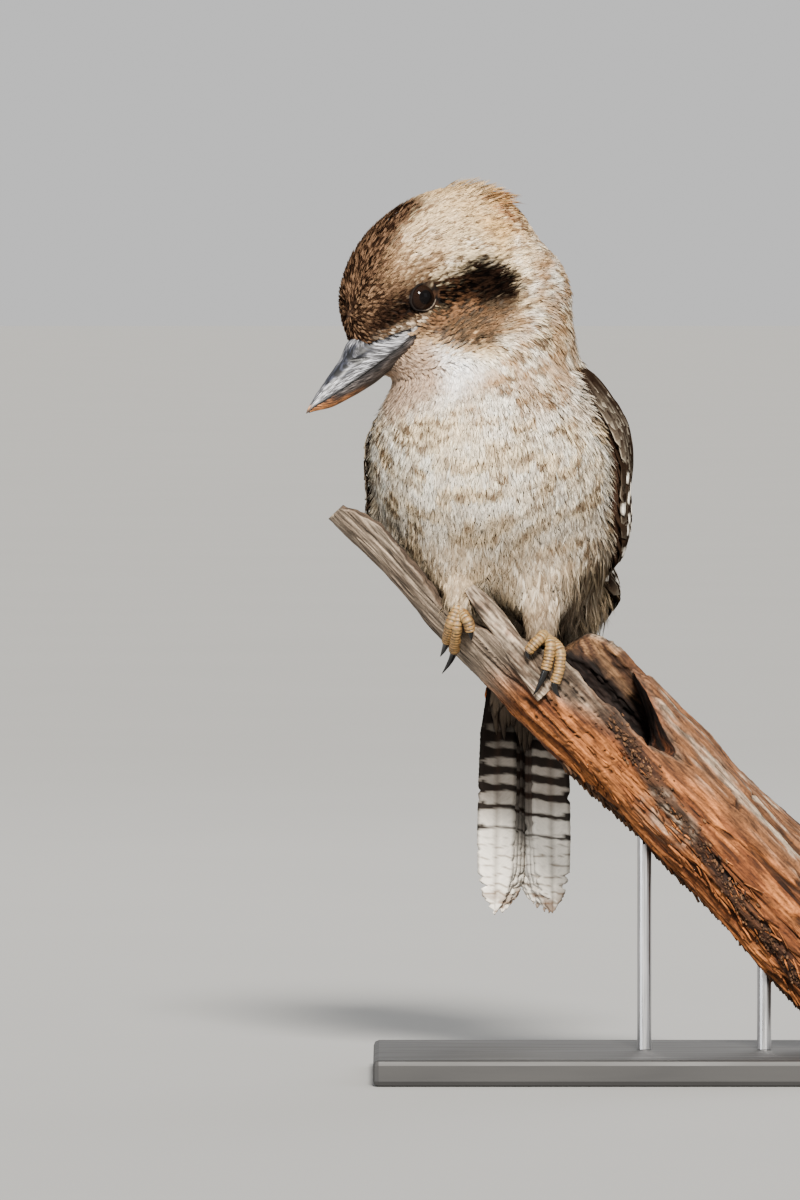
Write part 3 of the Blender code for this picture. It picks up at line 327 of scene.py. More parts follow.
def make_piece(name, points, faces, material, paint, maps=None, normals=None):
    """An object at the origin from arrays: points in millimetres and faces of three or four corners."""
    mesh = bpy.data.meshes.new(name)
    points = np.asarray(points, float).reshape(-1, 3)
    faces = [np.asarray(group, np.int64) for group in (faces if isinstance(faces, list) else [faces])]
    corners = np.concatenate([group.ravel() for group in faces])
    sizes = np.concatenate([np.full(len(group), group.shape[1]) for group in faces])
    starts = np.concatenate([[0], np.cumsum(sizes)[:-1]])
    mesh.vertices.add(len(points))
    mesh.vertices.foreach_set("co", (points * MM).ravel().astype(np.float32))
    mesh.loops.add(len(corners))
    mesh.loops.foreach_set("vertex_index", corners.astype(np.int32))
    mesh.polygons.add(len(sizes))
    mesh.polygons.foreach_set("loop_start", starts.astype(np.int32))
    mesh.polygons.foreach_set("loop_total", sizes.astype(np.int32))
    mesh.polygons.foreach_set("use_smooth", np.full(len(sizes), True))
    mesh.update(calc_edges=True)
    layer = mesh.color_attributes.new(PAINT, "FLOAT_COLOR", "POINT")
    rgba = np.ones((len(points), 4), np.float32)
    rgba[:, :3] = np.clip(np.asarray(paint).reshape(-1, 3), 0.0, 1.0)
    layer.data.foreach_set("color", rgba.ravel())
    for title, flat in (maps or {}).items():
        layer = mesh.uv_layers.new(name=title)
        layer.data.foreach_set("uv", np.asarray(flat, np.float32).reshape(-1, 2)[corners].ravel())
    if normals is not None:
        layer = mesh.attributes.new("custom_normal", "FLOAT_VECTOR", "POINT")
        layer.data.foreach_set("vector", np.asarray(normals, np.float32).reshape(-1, 3).ravel())
    mesh.materials.append(material)
    item = bpy.data.objects.new(name, mesh)
    bpy.context.scene.collection.objects.link(item)
    return item


def settle(item, slot, *nodes):
    """The piece rides on the still body and stands for its nodes; its slot is not used."""
    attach(item, "root")
    if nodes:
        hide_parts(*nodes)


def grid_faces(rows, columns, closed=False):
    """Quads between the rows of a grid of points; closed joins the last column to the first."""
    row, column = np.meshgrid(
        np.arange(rows - 1), np.arange(columns if closed else columns - 1), indexing="ij"
    )
    after = (column + 1) % columns
    low, high = row * columns, (row + 1) * columns
    return together(low + column, low + after, high + after, high + column).reshape(-1, 4)


def in_triangles(groups):
    """Groups of faces with every quad cut into two triangles."""
    split = [g if g.shape[1] == 3 else np.concatenate([g[:, (0, 1, 2)], g[:, (0, 2, 3)]]) for g in groups]
    return np.concatenate(split)


def closed_tube(rings):
    """Points and faces of a closed skin through rings, each end fanned to its own middle."""
    rows, columns = rings.shape[:2]
    points = np.concatenate([rings.reshape(-1, 3), rings[0].mean(0)[None], rings[-1].mean(0)[None]])
    here = np.arange(columns)
    after = (here + 1) % columns
    hub = rows * columns
    first = together(after, here, np.full(columns, hub))
    end = (rows - 1) * columns
    last = together(end + here, end + after, np.full(columns, hub + 1))
    return points, [grid_faces(rows, columns, True), np.concatenate([first, last])]


def distances(path):
    """How far along a path each of its points lies."""
    return np.concatenate([[0.0], np.cumsum(np.linalg.norm(np.diff(path, axis=0), axis=1))])


def rings_round(line, radii, side, over, turn):
    """A ring at each point of a line, by its two directions and a radius for every angle."""
    across = np.cos(turn)[None, :, None] * side[:, None]
    upward = np.sin(turn)[None, :, None] * over[:, None]
    return line[:, None] + radii[..., None] * (across + upward)


# Outlines in the head's side view, ahead of and above the eyes' middle.
EAR_PATCH = (
    (26.0, 1.5), (17.0, 6.5), (8.0, 8.5), (-1.0, 7.6), (-9.0, 4.4), (-19.0, 1.4),
    (-30.0, 1.0), (-37.0, -2.0), (-41.0, -9.0), (-41.0, -17.0), (-37.5, -24.0), (-33.0, -27.5),
    (-27.0, -24.0), (-19.0, -18.5), (-11.0, -15.0), (-2.5, -13.0), (6.0, -9.0), (14.0, -5.5),
    (23.0, -2.5),
)
CHEEK_PATCH = (
    (8.0, -6.0), (12.0, -13.0), (8.0, -21.0), (2.0, -29.5), (-8.0, -36.5), (-20.0, -37.0),
    (-32.0, -32.0), (-36.0, -18.0), (-26.0, -9.0), (-12.0, -5.0), (-2.0, -5.0),
)
LORES = (
    (32.0, 0.0), (27.0, 12.0), (16.0, 19.0), (6.0, 16.0), (-3.0, 10.5), (-8.0, 6.5),
    (-4.0, -6.0), (10.0, -8.0), (20.0, -4.5), (28.0, -4.0),
)
GAPE_STREAK = (
    (12.0, -11.8), (2.0, -10.0), (-7.0, -11.5), (-17.0, -14.4), (-18.0, -17.4), (-6.0, -15.0), (3.0, -13.0),
)
CROWN_AHEAD = (-62.0, -48.0, -37.0, -25.0, -11.0, 1.0, 8.0, 15.0, 24.0, 32.0)
CROWN_HALF = (3.0, 6.0, 11.0, 14.0, 17.0, 19.0, 21.0, 24.0, 27.0, 27.0)


def combed(points, lie, size, seed, stretch=6.0, layers=2):
    """Layered noise drawn out along the lie of the feathers, so that it reads as hair."""
    along = (points @ lie)[..., None] * lie
    return layered(points - along * (1.0 - 1.0 / stretch), size, seed, layers)


def head_paint(points, chance):
    """The head's colours at some points: crown, brow, eye stripe, ear patch, cheek and nape.

    Each patch is an outline in the side view; its edge is torn by noise of feather size and by
    each tuft's own chance, so that it frays along the lie.
    """
    a, u, l = head_places(points)
    side = np.abs(l)
    hair = combed(points, HEAD_FORWARD, 0.7, 3, 8.0)
    torn = 2.4 * (layered(points, 4.0, 4) - 0.5) + 3.0 * (chance - 0.5) + 7.0 * (hair - 0.5)
    fleck = 0.55 * hair + 0.45 * chance
    patch = layered(points, 7.0, 9)
    # The throat is its own white, painted brighter still as painted light where the bill's shade falls on
    # it.
    throat = ramp(-u, 14.0, 22.0) * ramp(a, -2.0, 12.0)
    colour = mixed(LOOK.white, LOOK.cream, (1.0 - throat) * ramp(patch + 0.3 * chance, 0.2, 0.6))
    colour = mixed(colour, tint(255, 253, 252), 0.85 * throat)
    colour = mixed(colour, tint(190, 164, 130), 0.35 * throat * ramp(fleck, 0.55, 0.72))
    hind = ramp(-a, 30.0, 50.0) * ramp(u, -16.0, -2.0)
    colour = mixed(colour, LOOK.buff, hind * (0.65 + 0.35 * ramp(patch, 0.3, 0.6)))
    ahead = ramp(a + 0.5 * (16.0 - u), -14.0, 18.0)
    half = np.interp(a, CROWN_AHEAD, CROWN_HALF)
    verge = ramp(half + 15.0 - side, 0.0, 15.0) * ramp(a + 0.3 * u, -14.0, 6.0)
    brow = bell((u - 10.0) / 5.0) * ramp(a, -34.0, -8.0)
    rate = np.clip(0.58 + 0.2 * ahead - 0.1 * hind + 0.4 * verge + 0.3 * brow, 0.0, 1.0)
    colour = mixed(colour, tint(214, 188, 152), 0.6 * ramp(u, 6.0, 14.0))
    colour = mixed(colour, tint(160, 128, 96), 0.8 * np.maximum(verge, 0.8 * brow))
    ticks = ramp(fleck, 0.80 - 0.45 * rate, 0.92 - 0.42 * rate) * ramp(u + 0.3 * side, 2.0, 12.0)
    colour = mixed(colour, tint(116, 94, 74), 0.85 * ticks)
    dark = ramp(half - side + 1.5 * torn, -4.5, 4.5) * ramp(u + 0.75 * a, -6.0, 6.0)
    crown = mixed(LOOK.umber * 1.2, tint(134, 108, 86), 0.85 * ramp(fleck, 0.48, 0.64))
    crown = mixed(crown, LOOK.soot, 0.8 * ramp(-fleck, -0.44, -0.36))
    colour = mixed(colour, crown, dark)
    cheek = ramp(inside_depth(a, u, CHEEK_PATCH) + 1.3 * torn, -3.0, 3.4) * ramp(side, 9.0, 15.0)
    coverts = mixed(LOOK.umber, tint(116, 86, 62), ramp(fleck, 0.36, 0.62))
    edge = ramp(-inside_depth(a, u, CHEEK_PATCH), -9.0, 1.0)
    coverts = mixed(coverts, tint(196, 168, 132), 0.7 * ramp(fleck + 0.35 * edge, 0.64, 0.88))
    colour = mixed(colour, coverts, 0.92 * cheek)
    ear = ramp(inside_depth(a, u, EAR_PATCH) + 1.6 * torn, -4.4, 4.0) * ramp(side, 8.0, 13.0)
    brownish = bell((a + 9.0) / 9.0) * ramp(-u, -2.0, 5.0)
    black = mixed(LOOK.soot, LOOK.umber, (1.0 - 0.5 * ramp(-a, 12.0, 26.0)) * ramp(fleck, 0.42, 0.66))
    black = mixed(black, tint(100, 74, 54), 0.75 * brownish * ramp(fleck, 0.46, 0.66))
    colour = mixed(colour, black, ear)
    streaks = ramp(inside_depth(a, u, GAPE_STREAK) + 0.4 * torn, -1.4, 1.0) * ramp(side, 10.0, 14.0)
    colour = mixed(colour, tint(150, 116, 88), 0.6 * streaks * ramp(chance, 0.35, 0.6))
    rim = on_bill(points)
    gape = ramp(rim + 0.5 * torn, -4.0, -1.0) * ramp(u, -12.0, -8.0) * ramp(-a, -28.0, -22.0)
    speckled = mixed(tint(214, 198, 178), LOOK.brown, ramp(fleck, 0.45, 0.62))
    colour = mixed(colour, speckled, 0.85 * gape * ramp(side, 6.0, 10.0))
    lores = ramp(inside_depth(a, u, LORES) + 1.4 * torn, -4.5, 3.5) * ramp(side, 6.0, 10.0)
    lores = lores * (1.0 - 0.8 * gape) * (1.0 - ear)
    colour = mixed(colour, mixed(LOOK.umber, tint(132, 108, 86), ramp(fleck, 0.42, 0.66)), 0.92 * lores)
    nape = ramp(-a, 52.0, 60.0) * ramp(u, -18.0, -8.0) * ramp(-u, -14.0, -4.0)
    colour = mixed(colour, LOOK.rufous, 0.6 * nape * ramp(fleck, 0.3, 0.6))
    tip = ramp(-a, 58.0, 62.0) * ramp(u, -20.0, -12.0) * ramp(-u, -2.0, 6.0)
    colour = mixed(colour, LOOK.soot, 0.85 * tip * ramp(fleck, 0.35, 0.6))
    warmth = ramp(-u, 12.0, 30.0) * ramp(-a, 4.0, 20.0) * ramp(patch, 0.3, 0.6)
    colour = mixed(colour, tint(182, 148, 112), 0.75 * warmth * (1.0 - ear) * (1.0 - cheek))
    neck = ramp(-(u + 0.2 * a), -4.0, 10.0) * ramp(-a, -6.0, 12.0) * (1.0 - ear) * (1.0 - cheek)
    # Brown bands below the tips of the neck's feather rows: painted shade between the rows.
    along, _, cell = scale_places(points)
    rim = ramp(along, 0.25, 0.5) * ramp(-along, -0.95, -0.7) * (0.3 + cell) * ramp(fleck, 0.35, 0.6)
    colour = mixed(colour, tint(124, 100, 78), np.clip(neck * rim, 0.0, 0.8))
    return colour * (0.84 + 0.32 * hair)[..., None]


SCALE_LONG = 6.4
SCALE_WIDE = 9.0


def scale_places(points):
    """Where points lie on the overlapping feathers that the plumage shows.

    Gives 0 at a feather's root to 1 at its tip, -1 to 1 across it, and its own chance. Rows run
    round the body in arcs bent by noise, and each second row is moved by half a feather.
    """
    aside = (points - SPINE_CENTRES[4]) @ BODY_LEFT
    behind = (points - SPINE_CENTRES[4]) @ BODY_BACK
    arc = 52.0 * np.arctan2(aside, -behind)
    bend = 10.0 * layered(points, 18.0, 51) + 3.0 * cloud(points, 6.0, 57)
    height = (points[..., 2] - 0.0075 * np.minimum(aside**2, 2500.0) + bend) / SCALE_LONG
    row = np.floor(height)
    wide = arc / SCALE_WIDE + 2.2 * cloud(points, 14.0, 58) + 0.5 * (row % 2.0)
    across = 2.0 * (wide - np.floor(wide)) - 1.0
    along = (1.0 - (height - row) + 0.3 * across**2) % 1.0
    cell = together(row, np.floor(wide), 0.0).astype(np.int64)
    return along, across, lattice(cell, 67)


def body_paint(points, chance, end):
    """The body's colours: white nape, barred neck, cream breast, brown mantle, barred rump, and painted
    shade below.

    The bars are sine waves of the height, bent by noise; each is darkest at a feather's end.
    """
    z = points[..., 2]
    aside = (points - SPINE_CENTRES[4]) @ BODY_LEFT
    behind = (points - SPINE_CENTRES[4]) @ BODY_BACK
    drift = layered(points, 18.0, 51)
    hair = combed(points, UP, 1.0, 53)
    fleck = 0.6 * hair + 0.4 * chance
    along, across, cell = scale_places(points)
    bar = ramp(along + 0.25 * (chance - 0.5), 0.36, 0.56) * ramp(-along, -0.98, -0.8)
    patch = layered(points, 12.0, 59)
    colour = mixed(LOOK.white, LOOK.cream, 0.9 * ramp(0.6 * patch + 0.4 * cell, 0.3, 0.7))
    low = ramp(-z, -262.0, -226.0)
    colour = mixed(colour, tint(160, 142, 118), low * (0.45 + 0.45 * ramp(fleck, 0.25, 0.6)))
    right = ramp(-aside, 10.0, 40.0)
    left = ramp(aside, 8.0, 38.0)
    upper = ramp(z, 282.0, 314.0)
    strength = 0.62 + 0.30 * right + 0.30 * left + 0.30 * upper - 0.30 * low
    shade = mixed(LOOK.wash, LOOK.brown, np.clip(0.35 + 0.6 * right + 0.35 * upper, 0.0, 1.0))
    depth = 0.68 * bar * strength * (0.15 + 1.25 * cell) * (0.4 + 1.2 * drift)
    depth = depth * (0.5 + 0.9 * ramp(fleck, 0.3, 0.6))
    colour = mixed(colour, shade, np.clip(1.25 * depth, 0.0, 0.95))
    # Each feather darkened at its sides: painted shade in the seams between feathers.
    seam_shade = ramp(np.abs(across), 0.82, 1.0) * ramp(cell, 0.2, 0.6)
    colour = mixed(colour, LOOK.wash, 0.4 * seam_shade)
    warm = upper * ramp(aside, -16.0, 6.0) * ramp(layered(points, 8.0, 63), 0.3, 0.65)
    colour = mixed(colour, tint(172, 140, 106), 0.75 * warm)
    blotch = bell((z - 272.0) / 14.0) * ramp(-aside, 24.0, 38.0) * ramp(fleck, 0.45, 0.7)
    colour = mixed(colour, LOOK.brown, 0.8 * blotch * ramp(patch, 0.35, 0.6))
    grey = ramp(fleck, 0.55, 0.72) * left
    colour = mixed(colour, tint(112, 98, 84), 0.6 * grey)
    back = behind + 0.55 * np.minimum(z - 276.0, 0.0)
    mantle = ramp(back + 5.0 * (drift - 0.5) + 3.0 * (chance - 0.5), 10.0, 19.0) * ramp(-z, -331.0, -321.0)
    saddle = mixed(LOOK.umber, LOOK.brown, 0.6 * ramp(fleck, 0.4, 0.7))
    saddle = mixed(saddle, LOOK.wash, 0.45 * end * ramp(chance, 0.4, 0.9))
    rump = ramp(-z, -262.0, -242.0)
    stripe = ramp(np.sin(z * 2.0 * np.pi / 11.0 + 5.0 * drift), -0.2, 0.4)
    barred = mixed(LOOK.rufous, LOOK.soot, stripe)
    colour = mixed(colour, mixed(saddle, barred, rump), mantle)
    # Painted shade under the body: the vent is mixed towards grey-brown, and all below 200 mm is darkened.
    vent = ramp(-z, -212.0, -196.0) * ramp(-behind, -38.0, -24.0)
    colour = mixed(colour, tint(116, 102, 88), 0.75 * vent)
    return colour * (1.0 - 0.6 * ramp(-z, -200.0, -180.0))[..., None]


def plumage(points, chance, end):
    """Head and body colours blended across the neck."""
    share = ramp(neck_height(points) + 6.0 * (layered(points, 9.0, 65) - 0.5), -44.0, -32.0)
    return mixed(body_paint(points, chance, end), head_paint(points, chance), share) ** LOOK.deepen


def coat_depth(points):
    """How far the skin lies inside the plumage: deep on the body, thin on the face."""
    a, u, l = head_places(points)
    from_eye = np.hypot(a, u) + 3.0 * ramp(-np.abs(l), -14.0, 0.0)
    face = 0.7 + 2.0 * ramp(head_reach(points, 22.0, -8.0, 0.6), 6.0, 34.0)
    head = 0.55 + (face - 0.55) * ramp(from_eye, 7.0, 16.0)
    head = head + 4.0 * ramp(on_bill(points), -0.6, 1.6)
    return head + (4.6 - head) * ramp(-neck_height(points), 30.0, 56.0)


def heading(points, normal, place):
    """The lie of the feathers: back from the bill over the head, then down the body.

    It turns outward round each eye, and is kept square to the surface.
    """
    over_head = -HEAD_FORWARD - 0.55 * HEAD_UP
    row = np.clip(place, -0.9, NECK_TOP) + 1.0
    down_body = -unit(smooth_row(SPINE_NORMALS, row))
    share = ramp(place, 3.9, 5.1)[..., None]
    lie = over_head * share + down_body * (1.0 - share)
    a, u, _ = head_places(points)
    away = a[..., None] * HEAD_FORWARD + u[..., None] * HEAD_UP
    lie = lie + 0.9 * eye_nearness(points, 11.0)[..., None] * unit(away)
    return unit(lie - dot(lie, normal) * normal)


def walk(points, place, lengths, levels, swerve):
    """Paths that follow the lie of the feathers: stations, normals and sides.

    Each step moves on along the lie, then drops to the surface raised by that station's level.
    """
    steps = levels.shape[1] - 1
    here = points
    stations, normals, sides = [], [], []
    for step in range(steps + 1):
        normal = flesh_normal(here)
        here = here - flesh_distance(here)[:, None] * normal
        lie = heading(here, normal, place - lengths * step / steps / PLACE_LONG)
        side = np.cross(normal, lie)
        lie = unit(lie + swerve[:, None] * side)
        stations.append(here + levels[:, step, None] * normal)
        normals.append(normal)
        sides.append(np.cross(normal, lie))
        here = here + (lengths / steps)[:, None] * lie
    return (np.stack(rows, axis=1) for rows in (stations, normals, sides))


FINGERS = 5
EDGE_ALONG = (0.12, 0.34)
EDGE_ACROSS = (0.6, 0.95)
SHAFT_ALONG = (0.16, 0.36)


def tuft_faces():
    """Corner numbers of one tuft: a toothed leaf with two middle points above and two below."""
    outline = np.arange(1 + 2 * len(EDGE_ALONG) + 2 * FINGERS - 1)
    count = len(outline)
    upper = (count, count + 1)
    lower = (count + 2, count + 3)
    faces = []
    for (first, second), flip in ((upper, False), (lower, True)):
        ring = []
        for number in range(count):
            after = (number + 1) % count
            near = number < 1 or after > count - 1 or after < 2 or number > count - 2
            hub = first if near else second
            ring.append((outline[number], outline[after], hub))
        ring.append((first, outline[1], second))
        ring.append((second, outline[-1], first))
        faces += [face[::-1] if flip else face for face in ring]
    return np.array(faces)


TUFT_FACES = tuft_faces()


def tuft_shape(count, rng, split):
    """Places along and across for each corner of many tufts, their teeth cut at random.

    The outline runs from the root up one edge, over the teeth and down the other edge.
    """
    teeth = 2 * FINGERS - 1
    across = np.linspace(-1.0, 1.0, teeth)
    tip = np.arange(teeth) % 2 == 0
    along = 1.0 - 0.22 * across**2 + rng.uniform(-0.22, 0.0, (count, teeth))
    cut = rng.uniform(0.6, 1.25, (count, teeth)) * np.asarray(split)[:, None]
    along = np.where(tip, along, np.maximum(along - cut, 0.4))
    jitter = rng.uniform(-0.12, 0.12, (count, teeth))
    spread = across * np.where(tip, 1.1, 0.9) + jitter * np.where(tip, 1.0, 0.3)
    shape = (count, len(EDGE_ALONG) + 1)
    up_long = np.broadcast_to((0.0, *EDGE_ALONG), shape)
    up_wide = np.broadcast_to((0.0, *EDGE_ACROSS), shape)
    shaft = np.broadcast_to(SHAFT_ALONG * 2, (count, 2 * len(SHAFT_ALONG)))
    s = np.hstack([up_long, along, up_long[:, :0:-1], shaft])
    t = np.hstack([-up_wide, spread, up_wide[:, :0:-1], 0.0 * shaft])
    teeth_end = np.broadcast_to(np.where(tip, 1.0, 0.35), along.shape)
    end = np.hstack([0.0 * up_long, teeth_end, 0.0 * up_long[:, 1:], 0.0 * shaft])
    rise = np.zeros_like(s)
    rise[:, -4:-2] = 1.0
    rise[:, -2:] = -1.0
    return s, t, rise, end


def along_path(rows, share):
    """Rows of each path read between its stations: paths by stations by three, and shares."""
    steps = rows.shape[1] - 1
    scaled = np.clip(share, 0.0, 1.0) * steps
    low = np.clip(np.floor(scaled).astype(int), 0, steps - 1)
    part = (scaled - low)[..., None]
    index = np.arange(len(rows))[:, None]
    return rows[index, low] * (1.0 - part) + rows[index, low + 1] * part


def sow(places, angles, spacing, rng):
    """Roots spread over a range of the body, about a spacing apart.

    Small cells of spine place and angle each add their area over the spacing squared to a
    running sum along the row, and a root is set wherever the sum passes a whole number.
    """
    rows = np.linspace(*places, 2 + int(46 * (places[1] - places[0])))
    columns = np.linspace(*angles, 2 + int((angles[1] - angles[0]) / 0.9))
    grid = body_point(rows[:, None], columns[None, :])
    down = np.diff(grid, axis=0)[:, :-1]
    over = np.diff(grid, axis=1)[:-1]
    area = np.linalg.norm(np.cross(down, over), axis=-1)
    middle = 0.25 * (grid[:-1, :-1] + grid[1:, :-1] + grid[:-1, 1:] + grid[1:, 1:])
    apart = spacing(middle)
    share = area / apart**2
    total = np.cumsum(share, axis=1) + rng.uniform(0.0, 1.0, (len(share), 1))
    passed = np.floor(total) > np.floor(total - share)
    row, column = np.nonzero(passed)
    place = rows[row] + rng.uniform(0.0, 1.0, len(row)) * (rows[1] - rows[0])
    angle = columns[column] + rng.uniform(0.0, 1.0, len(row)) * (columns[1] - columns[0])
    return place, angle


# Places of the head's middle plane, ahead of and above the eyes' middle.
BILL_ROOT = (24.0, -6.0)
CHIN = (12.0, -22.0)


def head_reach(points, ahead, above, sideways=0.5):
    """Distance of some points from a place of the head's middle plane, counted less sideways."""
    a, u, l = head_places(points)
    return np.hypot(a - ahead, np.hypot(u - above, sideways * l))


def neck_height(points):
    """Height over the line that parts head and body, level in front and sloping behind."""
    a, u, _ = head_places(points)
    return u + 0.35 * np.minimum(a, 4.0)


def body_share(points):
    """0 on the head, 1 on the body, by the height over the throat and nape."""
    return ramp(-neck_height(points), 30.0, 58.0)


def body_spacing(points):
    """The distance between tuft roots: about a millimetre on the face, less than two on the body."""
    head = 0.96 + 0.32 * ramp(head_reach(points, *BILL_ROOT), 10.0, 60.0)
    return LOOK.tufts_apart * (head + (1.5 - head) * body_share(points))


def eye_nearness(points, reach):
    """1 beside the eye and 0 away from it."""
    a, u, l = head_places(points)
    return np.exp(-0.5 * (np.hypot(a, u) / reach) ** 2) * ramp(np.abs(l), 12.0, 18.0)


def tuft_sizes(points):
    """Length and half width of the tufts: smallest round the bill, longest on the belly."""
    away = head_reach(points, *BILL_ROOT)
    body = body_share(points)
    eye = eye_nearness(points, 10.0)
    length = 3.4 + 4.4 * ramp(away, 6.0, 52.0)
    length = length * (1.0 - 0.45 * eye)
    length = length + 2.6 * ramp(-head_reach(points, *CHIN), -12.0, 0.0)
    length = length + (9.5 - length) * body
    length = length + 5.0 * ramp(-points[..., 2], -250.0, -225.0)
    half = (0.5 + 0.28 * ramp(away, 8.0, 50.0)) * (1.0 - 0.25 * eye)
    return LOOK.tuft_length * length, half + (1.05 - half) * body


def crest_share(points):
    """1 on the hind crown, whose feathers stand up, and 0 away from it."""
    a, u, l = head_places(points)
    return bell((a + 57.0) / 7.5) * ramp(u, 2.0, 11.0) * ramp(-np.abs(l), -28.0, -14.0)


def tuft_rise(points, tips, place, angle):
    """How far tufts stand out or tuck in.

    The hind crown's crest stands up over the nape's dip, each feather of the body rises towards
    its tip, and the plumage banks up over the wings' front edges.
    """
    a, u, _ = head_places(points)
    dip = 2.6 * np.exp(-(((a + 66.0) / 8.0) ** 2) - ((u + 14.0) / 9.0) ** 2)
    along, across, cell = scale_places(tips)
    scale = (0.5 + cell) * (along**2 * (1.0 - 0.5 * across**2) - 0.3) * body_share(points)
    front = np.interp(place, WING_PLACES, WING_FRONT)
    mirrored = (180.0 - angle + 180.0) % 360.0 - 180.0
    ahead = np.maximum(angle, mirrored) - front
    bank = 4.6 * ramp(ahead, -13.0, 0.0) * ramp(-ahead, -6.0, -2.0) * ramp(place, 0.7, 1.2)
    over = 8.0 * ramp(ahead, -14.0, 4.0) * ramp(-ahead, -70.0, -54.0)
    over = over * ramp(place, 3.75, 3.95) * ramp(-place, -4.7, -4.2)
    return 0.8 * crest_share(points) - dip + 1.1 * scale + np.maximum(bank * ramp(-place, -4.2, -3.9), over)


def leaf_mesh(path, normal, side, half, length, unwrap, rng, split):
    """Points, faces, colours, maps and facing of a tuft along every path.

    Every corner lies on its tuft's path at its share along, pushed aside by its share across
    times the half width and lifted a little at the middle, so the leaf is a closed thin lens.
    Its colour is read near its tip, the part that the next row leaves in sight.
    """
    count = len(path)
    s, t, rise, end = tuft_shape(count, rng, np.broadcast_to(split, count))
    centre = along_path(path, s)
    over = unit(along_path(normal, s))
    aside = unit(along_path(side, s))
    tilt = rng.normal(0.0, 0.14, count)[:, None]
    lift = (tilt * t - 0.10 * t**2) * half[:, None] + 0.15 * rise
    sideways = aside * (t * half[:, None])[..., None]
    points = centre + sideways + over * lift[..., None]
    turned = aside * rng.normal(0.0, 0.10, (count, 1, 1))
    facing = unit(over - aside * (tilt - 0.30 * t)[..., None] + turned)
    faces = (np.arange(count)[:, None, None] * s.shape[1] + TUFT_FACES).reshape(-1, 3)
    chance = np.broadcast_to(rng.uniform(0.0, 1.0, count)[:, None], s.shape)
    tone = rng.normal(1.0, 0.09, count)[:, None] * rng.normal(1.0, 0.08, s.shape)
    # Painted shade and light on each tuft: darker at its root and in the splits between its teeth, lighter
    # at the teeth's tips.
    tuft_shading = 0.94 + 0.16 * (end == 1.0) - 0.2 * (end == 0.35)
    seen = along_path(path, 0.78 + 0.22 * s) + sideways
    colour = plumage(seen, chance, end) * (tone * tuft_shading)[..., None]
    patch = unwrap[:, None, :] + 0.0015 * together(t, 2.0 * s - 1.0)
    barbs = together(t * half[:, None], s * length[:, None])
    barbs = barbs + rng.uniform(0.0, 60.0, (count, 1, 2))
    flat = (points.reshape(-1, 3), faces, colour.reshape(-1, 3), patch.reshape(-1, 2), barbs.reshape(-1, 2))
    return (*flat, facing.reshape(-1, 3))


def tuft_mesh(place, angle, rng, stretch, slim, raise_by, split):
    """The tufts of a piece of the coat, one at every root."""
    roots = body_point(place, angle)
    count = len(roots)
    depth = coat_depth(roots)
    length, half = tuft_sizes(roots)
    length = length * rng.uniform(0.82, 1.2, count) * stretch
    half = half * rng.uniform(0.85, 1.15, count) * slim
    share = np.linspace(0.0, 1.0, TUFT_STATIONS)
    top = rng.uniform(-0.35, 0.35, count) * np.minimum(depth, 1.5) + raise_by * rng.uniform(0.3, 1.0, count)
    rise = tuft_rise(roots, roots - 0.9 * length[:, None] * UP, place, angle)
    top = top + rise * rng.uniform(0.6, 1.1, count)
    levels = -0.82 * depth[:, None] * (1.0 - share) ** 1.7 + top[:, None] * share
    swerve = rng.normal(0.0, 0.10 + 0.16 * ramp(-roots[:, 2], -262.0, -225.0), count)
    path, normal, side = walk(roots, place, length, levels, swerve)
    unwrap = together(angle / 360.0, (place + 1.0) / 7.5)
    return leaf_mesh(path, normal, side, half, length, unwrap, rng, split)


TUFT_STATIONS = 5
SHANK_TUFTS = 700
SHANK_REACH = 0.95


def shank_mesh(rng):
    """Tufts that hang round both legs from the belly, on a cone that narrows to the foot."""
    parts = []
    for number, plan in enumerate(FEET.values()):
        hip = np.array(plan["hip"], float)
        foot = limb_round(*plan["ankle"])
        way = unit(foot - hip)
        across = unit(np.cross(way, [0.0, 1.0, 0.0]))
        deep = np.cross(way, across)
        share = SHANK_REACH * np.sqrt(rng.uniform(0.0, 1.0, SHANK_TUFTS)) - 0.25
        turn = rng.uniform(0.0, 2.0 * np.pi, SHANK_TUFTS)
        length = rng.uniform(8.0, 17.0, SHANK_TUFTS)
        half = rng.uniform(0.4, 1.0, SHANK_TUFTS)
        out = np.cos(turn)[:, None] * across + np.sin(turn)[:, None] * deep
        step = np.linspace(0.0, 1.0, TUFT_STATIONS)[None, :]
        reach = np.linalg.norm(foot - hip)
        along = share[:, None] * reach + length[:, None] * step
        wide = np.interp(along / reach, (-0.3, 0.2, 0.6, 1.0), (13.0, 10.5, 8.0, 5.6))
        wide = wide + rng.uniform(-1.0, 2.0, SHANK_TUFTS)[:, None] * step - 1.5 * (1.0 - step)
        swirl = rng.normal(0.0, 0.2, SHANK_TUFTS)[:, None] * length[:, None] * step**1.5
        side = np.cross(out, way)
        path = hip + along[..., None] * way + wide[..., None] * out[:, None]
        path = path + swirl[..., None] * side[:, None]
        normal = np.broadcast_to(out[:, None], path.shape)
        sides = np.broadcast_to(side[:, None], path.shape)
        unwrap = together(0.45 * turn / (2.0 * np.pi) + 0.5 * number, 0.02 + 0.05 * share)
        parts.append(leaf_mesh(path, normal, sides, half, length, unwrap, rng, 0.6))
    shift = len(parts[0][0])
    joined = [np.concatenate(rows) for rows in zip(*parts)]
    joined[1] = np.concatenate([parts[0][1], parts[1][1] + shift])
    return joined


# Tufts of the plain coat: stretch, slimness, how far they are raised and how deep they are split.
PLAIN = (1.0, 1.0, 0.0, 0.46)
